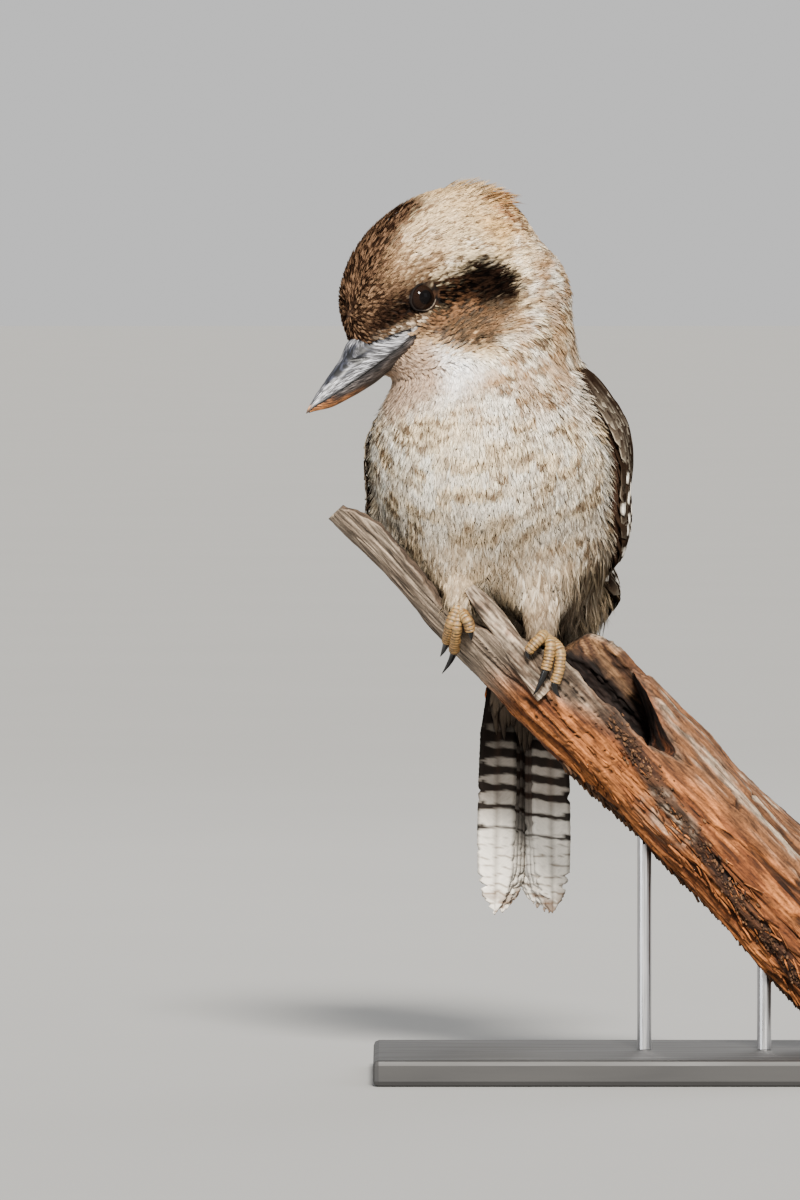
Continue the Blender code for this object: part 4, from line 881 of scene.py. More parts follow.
# Pieces of the coat: name, spine places, angles, how far apart against the usual, and the tufts.
COAT = (
    ("coat_face", (4.35, 6.0), (-180.0, -82.0), 1.0, PLAIN),
    ("coat_brow", (4.35, 6.0), (-82.0, -25.0), 1.0, PLAIN),
    ("coat_cheek", (4.35, 6.0), (-25.0, 50.0), 1.0, PLAIN),
    ("coat_nape", (4.35, 6.0), (50.0, 180.0), 1.1, PLAIN),
    ("coat_neck", (3.6, 4.35), (-180.0, 0.0), 1.0, PLAIN),
    ("coat_collar", (3.6, 4.35), (0.0, 180.0), 1.0, PLAIN),
    ("coat_breast", (2.6, 3.6), (-195.0, 12.0), 1.0, PLAIN),
    ("coat_belly", (1.5, 2.6), (-200.0, 16.0), 1.0, PLAIN),
    ("coat_thighs", (0.6, 1.5), (-200.0, 16.0), 1.0, PLAIN),
    ("coat_back", (0.6, 3.6), (8.0, 172.0), 1.15, PLAIN),
    ("coat_vent", (-0.5, 0.6), (-180.0, 180.0), 1.15, PLAIN),
    ("coat_crest", (4.6, 6.0), (-180.0, 180.0), 1.5, (1.7, 0.45, 6.0, 0.85)),
    ("coat_wisps", (0.5, 1.8), (-200.0, 16.0), 1.9, (1.45, 0.55, 1.8, 0.8)),
    ("coat_flanks", (0.3, 1.9), (-55.0, 36.0), 1.9, (1.9, 0.7, 4.0, 0.8)),
    ("coat_skirt", (0.9, 1.9), (-34.0, 26.0), 1.7, (2.1, 0.8, 8.0, 0.8)),
    ("coat_fringe", (1.8, 4.3), (-200.0, 180.0), 3.0, (1.25, 0.5, 1.3, 0.8)),
)
# The face's opening for the bill, in the side view.
BILL_OPENING = (
    (5.0, -10.0), (11.5, -8.0), (20.0, -4.6), (24.0, -4.2), (28.0, -4.0), (30.5, -2.5),
    (33.0, 0.5), (60.0, 0.5), (60.0, -30.0), (30.0, -23.5), (26.0, -21.0), (18.5, -18.2),
    (16.0, -17.0), (12.0, -14.0), (7.0, -10.8),
)


def on_bill(points):
    """How far inside the face's opening for the bill some points are."""
    a, u, _ = head_places(points)
    return inside_depth(a, u, BILL_OPENING)


def clear_of_eyes(points):
    """True where a root is clear of the eyes' openings and of the bill."""
    a, u, l = head_places(points)
    eye = (np.hypot(a, u) < 6.5) & (np.abs(l) > 15.0)
    return ~(eye | (on_bill(points) > np.where(u < -9.0, 2.6, -0.3)))


class Paintwork:
    """A material's nodes, added one after another."""

    def __init__(self, name, **sockets):
        self.material = bpy.data.materials.new(name)
        self.material.use_nodes = True
        self.tree = self.material.node_tree
        self.shader = self.tree.nodes["Principled BSDF"]
        for title, value in sockets.items():
            self.shader.inputs[title.replace("_", " ")].default_value = value

    def add(self, kind, **settings):
        """A node with its settings; a setting that names an input sets that input."""
        node = self.tree.nodes.new(kind)
        for title, value in settings.items():
            if title in node.inputs:
                node.inputs[title].default_value = value
            else:
                setattr(node, title, value)
        return node

    def link(self, source, output, target, entry):
        """Join two nodes and give back the second."""
        self.tree.links.new(source.outputs[output], target.inputs[entry])
        return target

    def noise(self, vector, scale, detail=3.0, stretch=(1.0, 1.0, 1.0)):
        """Noise read from a vector after it is stretched."""
        place = self.add("ShaderNodeMapping")
        place.inputs["Scale"].default_value = stretch
        self.link(vector[0], vector[1], place, "Vector")
        noise = self.add("ShaderNodeTexNoise", Scale=scale, Detail=detail)
        return self.link(place, "Vector", noise, "Vector")

    def levels(self, source, output, low, high, first, last):
        """A value moved from one span to another."""
        node = self.add("ShaderNodeMapRange")
        for title, value in zip(("From Min", "From Max", "To Min", "To Max"), (low, high, first, last)):
            node.inputs[title].default_value = value
        return self.link(source, output, node, "Value")

    def scale_colour(self, colour, factor):
        """A colour times a value."""
        node = self.add("ShaderNodeVectorMath", operation="SCALE")
        self.link(colour[0], colour[1], node, 0)
        return self.link(factor[0], factor[1], node, "Scale")

    def painted(self):
        """The mesh's own paint."""
        return self.add("ShaderNodeVertexColor", layer_name=PAINT), "Color"

    def place(self, title=None):
        """Places on the object, or on one of its own maps."""
        if title is None:
            return self.add("ShaderNodeTexCoord"), "Object"
        return self.add("ShaderNodeUVMap", uv_map=title), "UV"

    def two_tone(self, source, *tones):
        """The shader's colour between two tones, by a noise."""
        tone = self.add("ShaderNodeValToRGB")
        for element, shade in zip(tone.color_ramp.elements, tones):
            element.color = (*shade, 1.0)
        self.link(source, "Fac", tone, "Fac")
        self.link(tone, "Color", self.shader, "Base Color")

    def wear(self, *factors):
        """The mesh's own paint times each factor, joined to the shader's colour."""
        shaded = self.painted()
        for factor in factors:
            shaded = (self.scale_colour(shaded, (factor, 0)), "Vector")
        self.link(*shaded, self.shader, "Base Color")

    def bump(self, source, output, strength, distance):
        """A bump from a value, joined to the shader."""
        node = self.add("ShaderNodeBump", Strength=strength, Distance=distance)
        self.link(source, output, node, "Height")
        self.link(node, "Normal", self.shader, "Normal")


def feather_paint(name, roughness=0.85, lines=2.4, depth=0.4, specular=0.0):
    """Feather: the mesh's paint darkened along fine lines that run with the barbs."""
    work = Paintwork(name, Roughness=roughness, Specular_IOR_Level=specular)
    barbs = work.noise(work.place("barbs"), lines, 2.0, (1.0, 0.10, 1.0))
    mottle = work.noise(work.place(), 420.0, 3.0)
    fine = work.levels(barbs, "Fac", 0.3, 0.7, 1.0 - depth, 1.0 + 0.5 * depth)
    broad = work.levels(mottle, "Fac", 0.3, 0.7, 0.94, 1.05)
    work.wear(fine, broad)
    work.bump(barbs, "Fac", 0.35, 0.0003)
    return work.material


def mottled_paint(name, scale, detail, low, high, relief=None, **sockets):
    """A material of the mesh's own paint, mottled between two levels by fine noise."""
    work = Paintwork(name, **sockets)
    grain = work.noise(work.place(), scale, detail)
    work.wear(work.levels(grain, "Fac", 0.3, 0.7, low, high))
    if relief:
        work.bump(grain, "Fac", *relief)
    return work.material


SKIN_ROWS = 190
SKIN_COLUMNS = 150
SKIN_TOP = 5.985


def skin_mesh():
    """The skin: the body's surface from the tail's root to the crown, drawn in by the coat's depth.

    Point(place, angle) = the outer surface's point - its outward normal * the coat's depth there;
    both ends close on a middle point.
    """
    place = np.concatenate([np.linspace(0.02, 4.2, 70), np.linspace(4.2, SKIN_TOP, SKIN_ROWS - 69)[1:]])
    angle = np.arange(SKIN_COLUMNS) * 360.0 / SKIN_COLUMNS
    outer = body_point(place[:, None], angle[None, :])
    depth = coat_depth(outer)
    rings = outer - depth[..., None] * flesh_normal(outer)
    points, faces = closed_tube(rings)
    ends, _ = closed_tube(outer)
    chance = 0.5 + 0.0 * ends[:, 0]
    colour = 0.8 * plumage(ends, chance, chance)
    return points, faces, colour


LID_ROWS = 96
LID_COLUMNS = 14
LID_OPENING = 6.15
LID_OUT = 22.75


def lid_mesh(side):
    """The lids' rim as a closed ring: radius and lift swell and wrinkle with the turn.

    Across(turn, round) = opening + a soft lip; it is drawn out to a corner before and behind.
    """
    turn = np.linspace(0.0, 2.0 * np.pi, LID_ROWS, endpoint=False)[:, None]
    around = np.linspace(0.0, 2.0 * np.pi, LID_COLUMNS, endpoint=False)[None, :]
    corner = 0.75 * np.exp(-((np.cos(turn) - 1.0) ** 2) / 0.02)
    corner = corner + 0.5 * np.exp(-((np.cos(turn) + 1.0) ** 2) / 0.02)
    wrinkle = 0.10 * np.sin(23.0 * turn) + 0.07 * np.sin(41.0 * turn + 1.0)
    wide = 0.38 + 0.2 * wrinkle
    radius = LID_OPENING + corner + wide * np.cos(around) + 0.05 * np.sin(31.0 * turn) * np.cos(around)
    lift = LID_OUT + (0.75 + 0.4 * wrinkle) * np.sin(around) - 0.25 * np.cos(turn)
    rings = head_point(np.cos(turn) * radius, np.sin(turn) * radius * 0.97, side * lift)
    points = rings.reshape(-1, 3)
    faces = grid_faces(LID_ROWS + 1, LID_COLUMNS, True) % (LID_ROWS * LID_COLUMNS)
    if side > 0.0:
        faces = faces[:, ::-1]
    inner = ramp(-np.cos(around), -0.2, 0.9) * np.ones_like(turn)
    grey = mixed(tint(22, 18, 16), tint(18, 15, 14), inner)
    lower = ramp(np.cos(turn - 1.3 * np.pi), -0.1, 0.8)
    pale = ramp(np.sin(around), 0.3, 0.95) * (0.25 + 0.75 * lower) * (0.6 + 0.4 * np.sin(9.0 * turn) ** 2)
    grey = mixed(grey, tint(128, 114, 100), 0.6 * pale * lower)
    return points, [faces], grey.reshape(-1, 3)


def make_skin():
    """The skin of head, neck and trunk with both eyes' lids on it."""
    parts = [skin_mesh(), lid_mesh(-1.0), lid_mesh(1.0)]
    offset = 0
    all_faces = []
    for corners, faces, _ in parts:
        all_faces += [group + offset for group in faces]
        offset += len(corners)
    matt = {"Roughness": 0.8, "Specular_IOR_Level": 0.08}
    look = mottled_paint("skin", 900.0, 4.0, 0.8, 1.1, (0.3, 0.0002), **matt)
    points, colour = (np.concatenate([part[column] for part in parts]) for column in (0, 2))
    settle(make_piece("skin", points, all_faces, look, colour), "cream_plumage", "head", "neck", "torso")


def make_coat():
    """The coat's pieces, each a sheet of overlapping tufts over a range of the body."""
    rng = np.random.default_rng(SEED)
    paint = feather_paint("soft feathers")
    for name, places, angles, apart, looks in COAT:
        place, angle = sow(places, angles, lambda points: apart * body_spacing(points), rng)
        roots = body_point(place, angle)
        keep = clear_of_eyes(roots)
        if name == "coat_crest":
            keep &= crest_share(roots) > 0.35
        place, angle = place[keep], angle[keep]
        finish_coat(name, paint, tuft_mesh(place, angle, rng, *looks))
    finish_coat("coat_shanks", paint, shank_mesh(rng))


def finish_coat(name, paint, arrays):
    """A piece of the coat from its arrays, with its patches for the bake."""
    points, faces, colour, patch, barbs, facing = arrays
    maps = {"OFBake": patch, "barbs": barbs}
    settle(make_piece(name, points, faces, paint, colour, maps, normals=facing), "cream_plumage")


GAP = 0.3
BILL_AHEAD = np.array([6.0, 17.0, 25.0, 32.0, 39.0, 45.0, 56.0, 65.0, 69.2])
BILL_TOP = np.array([-6.0, -3.5, -1.4, -0.75, -3.7, -5.1, -7.5, -9.9, -11.6])
BILL_MOUTH = np.array([-10.6, -12.4, -13.4, -13.7, -13.7, -13.6, -12.7, -11.6, -12.0])
BILL_HALF = np.array([20.2, 17.2, 12.9, 9.6, 7.4, 5.8, 3.6, 1.7, 0.35])
CHIN_AHEAD = np.array([6.0, 17.0, 31.0, 40.0, 47.0, 57.0, 65.0, 68.0])
CHIN_LOW = np.array([-19.5, -21.0, -22.5, -21.6, -20.2, -17.8, -13.9, -12.6])
CHIN_HALF = np.array([20.0, 17.0, 9.4, 6.5, 5.0, 3.0, 1.3, 0.5])
ROOF_SIDE = ((1.0, 0.0), (0.99, 0.26), (0.84, 0.66), (0.42, 0.94), (0.0, 1.0))
KEEL_SIDE = ((1.0, 1.0), (0.96, 0.7), (0.7, 0.28), (0.34, 0.04), (0.0, 0.0))
NOSTRIL = (36.5, -6.8)
BILL_ROWS = 110
BILL_COLUMNS = 44


def half_bill(ahead, high, low, half, side, upper):
    """Rings of one half of the bill and how far ahead each point is.

    Along the bill a smooth curve through its measured sections; round it a smooth curve through
    the section's side, mirrored, and closed flat along the mouth.
    """
    rows = smooth_row(together(ahead, high, low, half), np.linspace(0, len(ahead) - 1, BILL_ROWS))
    whole = np.array(list(side) + [(-s, h) for s, h in side[-2::-1]])
    arc = smooth_row(whole, np.linspace(0, len(whole) - 1, BILL_COLUMNS))
    mouth = np.linspace(1.0, -1.0, 11)[1:-1]
    flat = together(-mouth, np.full(len(mouth), 0.0 if upper else 1.0))
    ring = np.concatenate([arc, flat])
    a = np.broadcast_to(rows[:, :1], (BILL_ROWS, len(ring)))
    u = rows[:, 2:3] + (rows[:, 1:2] - rows[:, 2:3]) * ring[None, :, 1]
    l = rows[:, 3:4] * ring[None, :, 0]
    return a, u, l


def bill_upper_mesh():
    """The upper bill: scratched and scaly horn with a slit nostril sunk in each side."""
    a, u, l = half_bill(BILL_AHEAD, BILL_TOP, BILL_MOUTH, BILL_HALF, ROOF_SIDE, True)
    slit = ((a - NOSTRIL[0]) - 0.9 * (u - NOSTRIL[1])) / 2.6
    across = (u - NOSTRIL[1] - 0.35 * (a - NOSTRIL[0])) / 0.75
    hole = np.exp(-(slit**2) - across**2) * (np.abs(l) > 2.0)
    l = l * (1.0 - 0.20 * hole)
    worn = layered(together(a / 9.0, u * 1.1, l * 1.1), 1.6, 71)
    l = l * (1.0 + 0.03 * (worn - 0.5))
    points = head_point(a, u + 0.22 * (worn - 0.5), l)
    mouth = np.interp(a, BILL_AHEAD, BILL_MOUTH)
    rise = (u - mouth) / np.maximum(np.interp(a, BILL_AHEAD, BILL_TOP) - mouth, 0.5)
    silver = ramp(layered(together(a / 5.0, u, l), 3.0, 77) - 0.35 * rise, 0.10, 0.42)
    colour = mixed(tint(24, 26, 34), tint(128, 128, 132), 0.8 * silver)
    colour = mixed(colour, tint(120, 104, 82), 0.5 * ramp(-a, -18.0, -9.0) * silver)
    # The sunk nostril slit painted near black: painted shade in it.
    colour = mixed(colour, tint(8, 7, 8), np.clip(1.6 * hole, 0.0, 0.97))
    colour = mixed(colour, tint(176, 128, 84), 0.7 * ramp(a, 64.0, 68.5))
    # A near-black line along the mouth: painted shade in the gap between the bills.
    colour = mixed(colour, tint(8, 6, 6), 0.95 * ramp(-(u - mouth), -1.5, -0.3))
    return points, colour, together(a, rise * 10.0 + l)


def bill_lower_mesh():
    """The lower bill: grey horn that turns orange-brown along its keel."""
    mouth = np.interp(CHIN_AHEAD, BILL_AHEAD, BILL_MOUTH) - GAP
    a, u, l = half_bill(CHIN_AHEAD, mouth, np.minimum(CHIN_LOW, mouth - 0.4), CHIN_HALF, KEEL_SIDE, False)
    worn = layered(together(a / 9.0, u * 1.1, l * 1.1), 1.6, 81)
    points = head_point(a, u + 0.2 * (worn - 0.5), l * (1.0 + 0.03 * (worn - 0.5)))
    low = np.interp(a, CHIN_AHEAD, CHIN_LOW)
    keel = ramp(-(u - low), -4.0, -0.6) * ramp(a, 36.0, 50.0)
    keel = np.maximum(keel, ramp(a, 52.0, 62.0) * ramp(-(u - low), -9.0, -3.0))
    silver = ramp(layered(together(a / 6.0, u, l), 2.4, 83), 0.35, 0.7)
    colour = mixed(tint(26, 22, 22), tint(72, 66, 64), 0.7 * silver)
    colour = mixed(colour, tint(132, 84, 46), 0.85 * keel)
    # Patches of near black along the mouth: painted shade in the gap between the bills.
    edge = ramp(u - low, 5.0, 8.5) * ramp(worn, 0.3, 0.5)
    colour = mixed(colour, tint(16, 12, 12), 0.7 * edge)
    return points, colour, together(a, (u - low) * 1.5 + l)


def make_bill():
    """Both halves of the bill in worn horn."""
    worn = {"Roughness": 0.5, "Specular_IOR_Level": 0.35, "Coat_Weight": 0.05, "Coat_Roughness": 0.3}
    work = Paintwork("worn horn", **worn)
    scratch = work.noise(work.place("barbs"), 2.3, 6.0, (0.10, 1.0, 1.0))
    scuff = work.noise(work.place(), 260.0, 4.0)
    work.link(work.levels(scuff, "Fac", 0.35, 0.7, 0.42, 0.62), 0, work.shader, "Roughness")
    work.wear(work.levels(scratch, "Fac", 0.47, 0.62, 0.18, 2.5))
    work.bump(scratch, "Fac", 0.3, 0.0002)
    for name, (points, colour, flat) in (("upper", bill_upper_mesh()), ("lower", bill_lower_mesh())):
        turned = slice(None) if name == "upper" else slice(None, None, -1)
        corners, faces = closed_tube(points[:, turned])
        colours, places = (with_ends(rows[:, turned]) for rows in (colour, flat))
        item = make_piece(f"horn_{name}", corners, faces, work.material, colours, {"barbs": places})
        settle(item, "bill_horn", f"bill_{name}")


def with_ends(rows):
    """The values of a tube's grid as one list, with one more for each end's middle point."""
    return np.concatenate([rows.reshape(-1, rows.shape[-1]), rows[0, :1], rows[-1, :1]])


EYE_ROWS = 56
EYE_COLUMNS = 72


def eye_mesh(side):
    """The eyeball: a sphere whose clear front bulges a little; pupil and iris go by the angle.

    Radius(angle) = eyeball + bulge * exp(-(angle / width)^2), the pole looking out sideways.
    """
    tilt = np.linspace(0.0, np.pi, EYE_ROWS)[1:-1, None]
    turn = np.linspace(0.0, 2.0 * np.pi, EYE_COLUMNS, endpoint=False)[None, :]
    radius = EYEBALL_RADIUS + 0.30 * bell(tilt / 0.42) - 0.15
    out = side * (EYE_OFFSET + radius * np.cos(tilt)) + 0.0 * turn
    ahead = radius * np.sin(tilt) * np.cos(turn)
    above = radius * np.sin(tilt) * np.sin(turn)
    rings = head_point(ahead, above, out)
    if side < 0.0:
        rings = rings[:, ::-1]
        ahead, above = ahead[:, ::-1], above[:, ::-1]
    gap = np.hypot(ahead, above)
    fibre = 0.6 + 0.4 * np.sin(np.arctan2(above, ahead) * 46.0) * np.sin(gap * 3.0)
    iris = ramp(gap, 3.0, 3.5) * ramp(-gap, -6.0, -5.2)
    colour = mixed(tint(7, 6, 6), tint(34, 21, 13), iris * fibre * 0.8)
    colour = mixed(colour, tint(20, 15, 13), ramp(gap, 5.2, 6.0))
    colour = colour.reshape(-1, 3)
    return rings, np.concatenate([colour, colour[:1], colour[-1:]])


def make_eyes():
    """Both eyeballs, dark and wet."""
    wet = {"Roughness": 0.06, "Specular_IOR_Level": 0.03, "Coat_Weight": 0.07, "Coat_Roughness": 0.02}
    look = mottled_paint("wet eye", 700.0, 3.0, 0.85, 1.1, **wet)
    for name, side in (("left", 1.0), ("right", -1.0)):
        rings, colour = eye_mesh(side)
        points, faces = closed_tube(rings)
        settle(make_piece(f"eyeball_{name}", points, faces, look, colour), "eye", f"eye_{name}")


def vane_rings(path, outward, left, right, thick, droop, columns):
    """Rings of a vane: at each station a thin lens from its right edge over to its left.

    Across(t) = the half width on that side * t; height = droop * t^2, and the shaft stands
    above the web by a narrow ridge; the underside is the same, a thickness below.
    """
    way = unit(np.gradient(path, axis=0))
    outward = unit(outward - dot(outward, way) * way)
    side = np.cross(way, outward)
    t = np.linspace(-1.0, 1.0, columns)
    if columns == 4:
        # The two inner columns move out, so that the web between them stays broad.
        t = np.sign(t) * np.abs(t) ** 0.3
    width = np.where(t[None, :] < 0.0, right[:, None], left[:, None]) * t[None, :]
    ridge = 0.22 * bell(width / 0.45)
    height = -droop[:, None] * t[None, :] ** 2
    body = 0.5 * thick * (1.0 - 0.75 * t[None, :] ** 2)
    middle = path[:, None] + width[..., None] * side[:, None]
    upper = middle + (height + body + ridge)[..., None] * outward[:, None]
    lower = middle + (height - body - 0.6 * ridge)[..., None] * outward[:, None]
    rings = np.concatenate([upper, lower[:, -2:0:-1]], axis=1)
    across = np.concatenate([t, t[-2:0:-1]])
    face = np.concatenate([np.ones(columns), -np.ones(columns - 2)])
    return rings, across, face


def vane_shape(share, rng, blunt=0.25, notches=3, ragged=0.05):
    """Half width along a vane as a share of its widest, with a few splits in its web."""
    grow = 0.55 + 0.45 * ramp(share, 0.0, 0.35)
    end = np.sqrt(np.clip(1.0 - np.clip((share - (1.0 - blunt)) / blunt, 0.0, 1.0) ** 2.2, 0.0, 1.0))
    width = grow * np.maximum(end, 0.03)
    for _ in range(notches):
        where = rng.uniform(0.35, 0.97)
        width = width * (1.0 - rng.uniform(0.1, 0.4) * bell((share - where) / 0.012))
    return width * (1.0 + ragged * rng.uniform(-1.0, 1.0, len(share)))


class Sheaf:
    """Closed feathers gathered into one mesh."""

    def __init__(self):
        self.points, self.faces, self.colours, self.barbs = [], [], [], []
        self.count = 0

    def add(self, rings, colour, barbs):
        """One closed feather: its rings, its paint and its places for the barb lines."""
        points, groups = closed_tube(rings[:, ::-1])
        self.points.append(points)
        self.faces.append(in_triangles(groups) + self.count)
        for kept, rows in ((self.colours, colour), (self.barbs, barbs)):
            ends = [rows[0, :1], rows[-1, :1]]
            kept.append(np.concatenate([rows[:, ::-1].reshape(-1, rows.shape[-1])] + ends))
        self.count += len(points)

    def add_feather(self, path, outward, widths, shape, thick, droop, painter, rng, columns=9):
        """A vane along a path: half widths on its left and right times its shape."""
        length = distances(path)
        left, right = widths[0] * shape[0], widths[1] * shape[1]
        sag = droop * np.maximum(shape[0], shape[1])
        rings, across, face = vane_rings(path, outward, left, right, thick, sag, columns)
        share = np.broadcast_to((length / length[-1])[:, None], rings.shape[:2])
        across = np.broadcast_to(across[None, :], share.shape)
        face = np.broadcast_to(face[None, :], share.shape)
        half = np.where(across < 0.0, right[:, None], left[:, None])
        colour = painter(share, across, face, rings, length[:, None] + 0.0 * share)
        slant = length[:, None] + 0.8 * np.abs(across * half)
        barbs = together(slant * 1.6, across * half * 1.2) + rng.uniform(0.0, 50.0, 2)
        self.add(rings, colour, barbs)

    def build(self, name, material):
        """The gathered mesh as a piece."""
        return make_piece(
            name,
            np.concatenate(self.points),
            np.concatenate(self.faces),
            material,
            np.concatenate(self.colours),
            {"barbs": np.concatenate(self.barbs)},
        )


SHELL_TOP = 3.72
SHELL_ROWS = 60
SHELL_COLUMNS = 14
WING_PLACES = np.array([-0.52, -0.2, 0.2, 0.8, 1.6, 2.4, 3.2, 3.8, 4.0])
WING_FRONT = np.array([60.0, 44.0, 28.0, 12.0, -2.0, -8.0, -9.0, -8.0, 8.0])
WING_BACK = np.array([76.0, 82.0, 85.0, 85.0, 80.0, 72.0, 64.0, 56.0, 44.0])
TIP_PLACES = np.array([-1.0, 0.0, 0.6, 1.2])
TIP_LATERAL = np.array([25.0, 31.0, 30.0, 0.01])
TIP_DEPTH = np.array([14.0, 16.0, 14.0, 0.01])
CLEAR_PLACES = (1.6, 2.4, 3.2, 3.8)
WING_CLEAR = (2.3, 1.5, 1.2, -3.0)
WING_LIFTS = {"wing_left": 4.0, "wing_right": 0.0}
BULGE_PLACE = 2.6
BULGE_ANGLE = 16.0
BULGE_SPREAD = 34.0


def wing_radius(place, angle):
    """Distance from the spine to the inner face of a folded wing."""
    centre, direction = spine_ray(place, angle)
    wide = np.interp(place, TIP_PLACES, TIP_LATERAL)
    deep = np.interp(place, TIP_PLACES, TIP_DEPTH)
    turn = np.radians(angle)
    rump = 1.0 / np.sqrt((np.cos(turn) / wide) ** 2 + (np.sin(turn) / deep) ** 2)
    return np.maximum(flesh_radius(centre, direction), rump) + np.interp(place, CLEAR_PLACES, WING_CLEAR)


def wing_point(place, angle, height, side, lift):
    """A place on a folded wing; a right wing is the left one's mirror in the spine."""
    place, angle = np.broadcast_arrays(np.asarray(place, float), np.asarray(angle, float))
    turned = angle if side > 0.0 else 180.0 - angle
    centre, direction = spine_ray(place, turned)
    round_angle = (angle - BULGE_ANGLE) / BULGE_SPREAD
    bulge = lift * np.exp(-((place - BULGE_PLACE) ** 2) - round_angle**2)
    rise = np.where(np.asarray(height) > 0.0, bulge, 0.0) + height
    return centre + (wing_radius(place, turned) + rise)[..., None] * direction


def wing_normal(place, angle, side, lift):
    """The outward normal of a folded wing, from its slopes round and along the body."""
    ahead = wing_point(place, angle + 2.0, 1.0, side, lift)
    behind = wing_point(place, angle - 2.0, 1.0, side, lift)
    above = wing_point(place + 0.06, angle, 1.0, side, lift)
    below = wing_point(place - 0.06, angle, 1.0, side, lift)
    return unit(np.cross(ahead - behind, above - below)) * side


# Count, root place, root angles, tip places, tip angles, half width, level, kind.
WING_ROWS = (
    (7, 0.75, (60.0, 22.0), (-0.6, -0.1), (71.0, 38.0), 4.6, 1.6, "primary"),
    (8, 1.9, (14.0, 66.0), (0.15, 0.45), (22.0, 76.0), 5.4, 2.0, "secondary"),
    (9, 2.5, (2.0, 60.0), (1.45, 1.65), (8.0, 69.0), 5.6, 2.4, "greater"),
    (9, 2.95, (-2.0, 56.0), (2.0, 2.15), (2.0, 63.0), 5.2, 2.6, "median"),
    (9, 3.3, (-5.0, 54.0), (2.5, 2.6), (-2.0, 59.0), 4.6, 2.7, "lesser"),
    (9, 3.6, (-5.0, 52.0), (2.95, 3.0), (-4.0, 56.0), 4.3, 2.6, "lesser"),
    (8, 3.85, (2.0, 46.0), (3.3, 3.35), (-3.0, 52.0), 4.2, 2.3, "lesser"),
)


def wing_painter(kind, front, rng):
    """Paint for one wing feather: dark web, paler edge, and the kind's own marks."""
    spot = rng.uniform(0.0, 1.0)
    tone = rng.normal(1.0, 0.07)

    def paint(share, across, face, rings, length):
        grain = layered(together(across * 3.0, length / 3.0, 0.0) + 30.0 * spot, 1.0, 91)
        colour = mixed(LOOK.umber * tone, LOOK.brown, 0.55 * ramp(grain, 0.35, 0.8))
        edge = ramp(np.abs(across), 0.66, 0.95)
        colour = mixed(colour, LOOK.wash, 0.4 * edge * ramp(share, 0.3, 0.8))
        colour = colour * 0.32
        tip = ramp(share, 0.86, 0.97)
        if kind == "primary":
            colour = mixed(colour, LOOK.soot, 0.55)
            white = ramp(share, 0.28, 0.36) * ramp(-share, -0.56, -0.48) * ramp(-across, -0.2, 0.3)
            colour = mixed(colour, LOOK.white, 0.8 * white)
        if kind == "secondary":
            colour = mixed(colour, tint(58, 66, 78), 0.35 * ramp(grain, 0.3, 0.7))
            colour = mixed(colour, LOOK.white, 0.6 * tip)
        if kind in ("greater", "median"):
            blue = ramp(share, 0.62, 0.9) * ramp(-np.abs(across), -0.95, -0.5)
            colour = mixed(colour, tint(120, 170, 186), (0.6 if kind == "median" else 0.35) * blue)
        if kind == "lesser":
            colour = mixed(colour, LOOK.stone, 0.7 * tip * ramp(grain, 0.2, 0.6))
        if kind in ("margin", "spotted", "shoulder"):
            colour = colour * (0.75 + 0.5 * spot)
            rim = np.maximum(tip, edge * ramp(share, 0.4, 0.8)) * (1.0 if kind == "shoulder" else 0.45)
            colour = mixed(colour, LOOK.stone, 0.8 * rim * ramp(spot, 0.1, 0.5))
        if front:
            oval = np.exp(-(((share - 0.78) / 0.14) ** 4) - ((across / 0.62) ** 4))
            colour = mixed(colour, LOOK.white, np.clip(1.3 * oval, 0.0, 0.95))
        shaft = bell(across / 0.07)
        return mixed(colour, LOOK.soot, 0.5 * shaft) * np.where(face > 0.0, 1.0, 1.15)[..., None]

    return paint


def make_wings():
    """Both folded wings: an inner shell under tiers of overlapping vanes."""
    paint = feather_paint("flight feathers", 0.8, 2.6, 0.4, 0.0)
    for name, lift in WING_LIFTS.items():
        side = 1.0 if name == "wing_left" else -1.0
        rng = np.random.default_rng(SEED + 3)
        sheaf = Sheaf()
        add_wing_shell(sheaf, side, lift)
        for count, root_place, root_angles, tip_places, tip_angles, half, level, kind in WING_ROWS:
            for step in range(count):
                share = step / (count - 1)
                place = root_place + rng.uniform(-0.04, 0.04), np.interp(share, (0, 1), tip_places)
                angle = np.interp(share, (0, 1), root_angles), np.interp(share, (0, 1), tip_angles)
                add_wing_vane(sheaf, place, angle, half, level, kind, side, lift, share, rng)
        add_wing_margin(sheaf, side, lift, rng)
        settle(sheaf.build("folded_" + name, paint), "brown_plumage", name)


MARGIN_ROWS = 32
MARGIN_COLUMNS = 6


def add_wing_margin(sheaf, side, lift, rng):
    """Small coverts in staggered rows down the wing's front edge, some with a white spot."""
    for row, place in enumerate(np.linspace(3.88, 0.75, MARGIN_ROWS)):
        for column in range(MARGIN_COLUMNS):
            ahead = 0.5 + 6.2 * column + 3.1 * (row % 2) + rng.uniform(-1.0, 1.0)
            end = place - rng.uniform(0.34, 0.46)
            angles = [np.interp(where, WING_PLACES, WING_FRONT) + ahead for where in (place, end)]
            spotted = column < 3 and (row + column) % 3 == 0 and place < 3.0
            kind = "spotted" if spotted else "shoulder" if place > 3.1 else "margin"
            level = 3.5 - 0.15 * column
            share = column / 9.0
            fineness = (12, 7) if spotted else (6, 4)
            add_wing_vane(sheaf, (place, end), angles, 2.7, level, kind, side, lift, share, rng, *fineness)


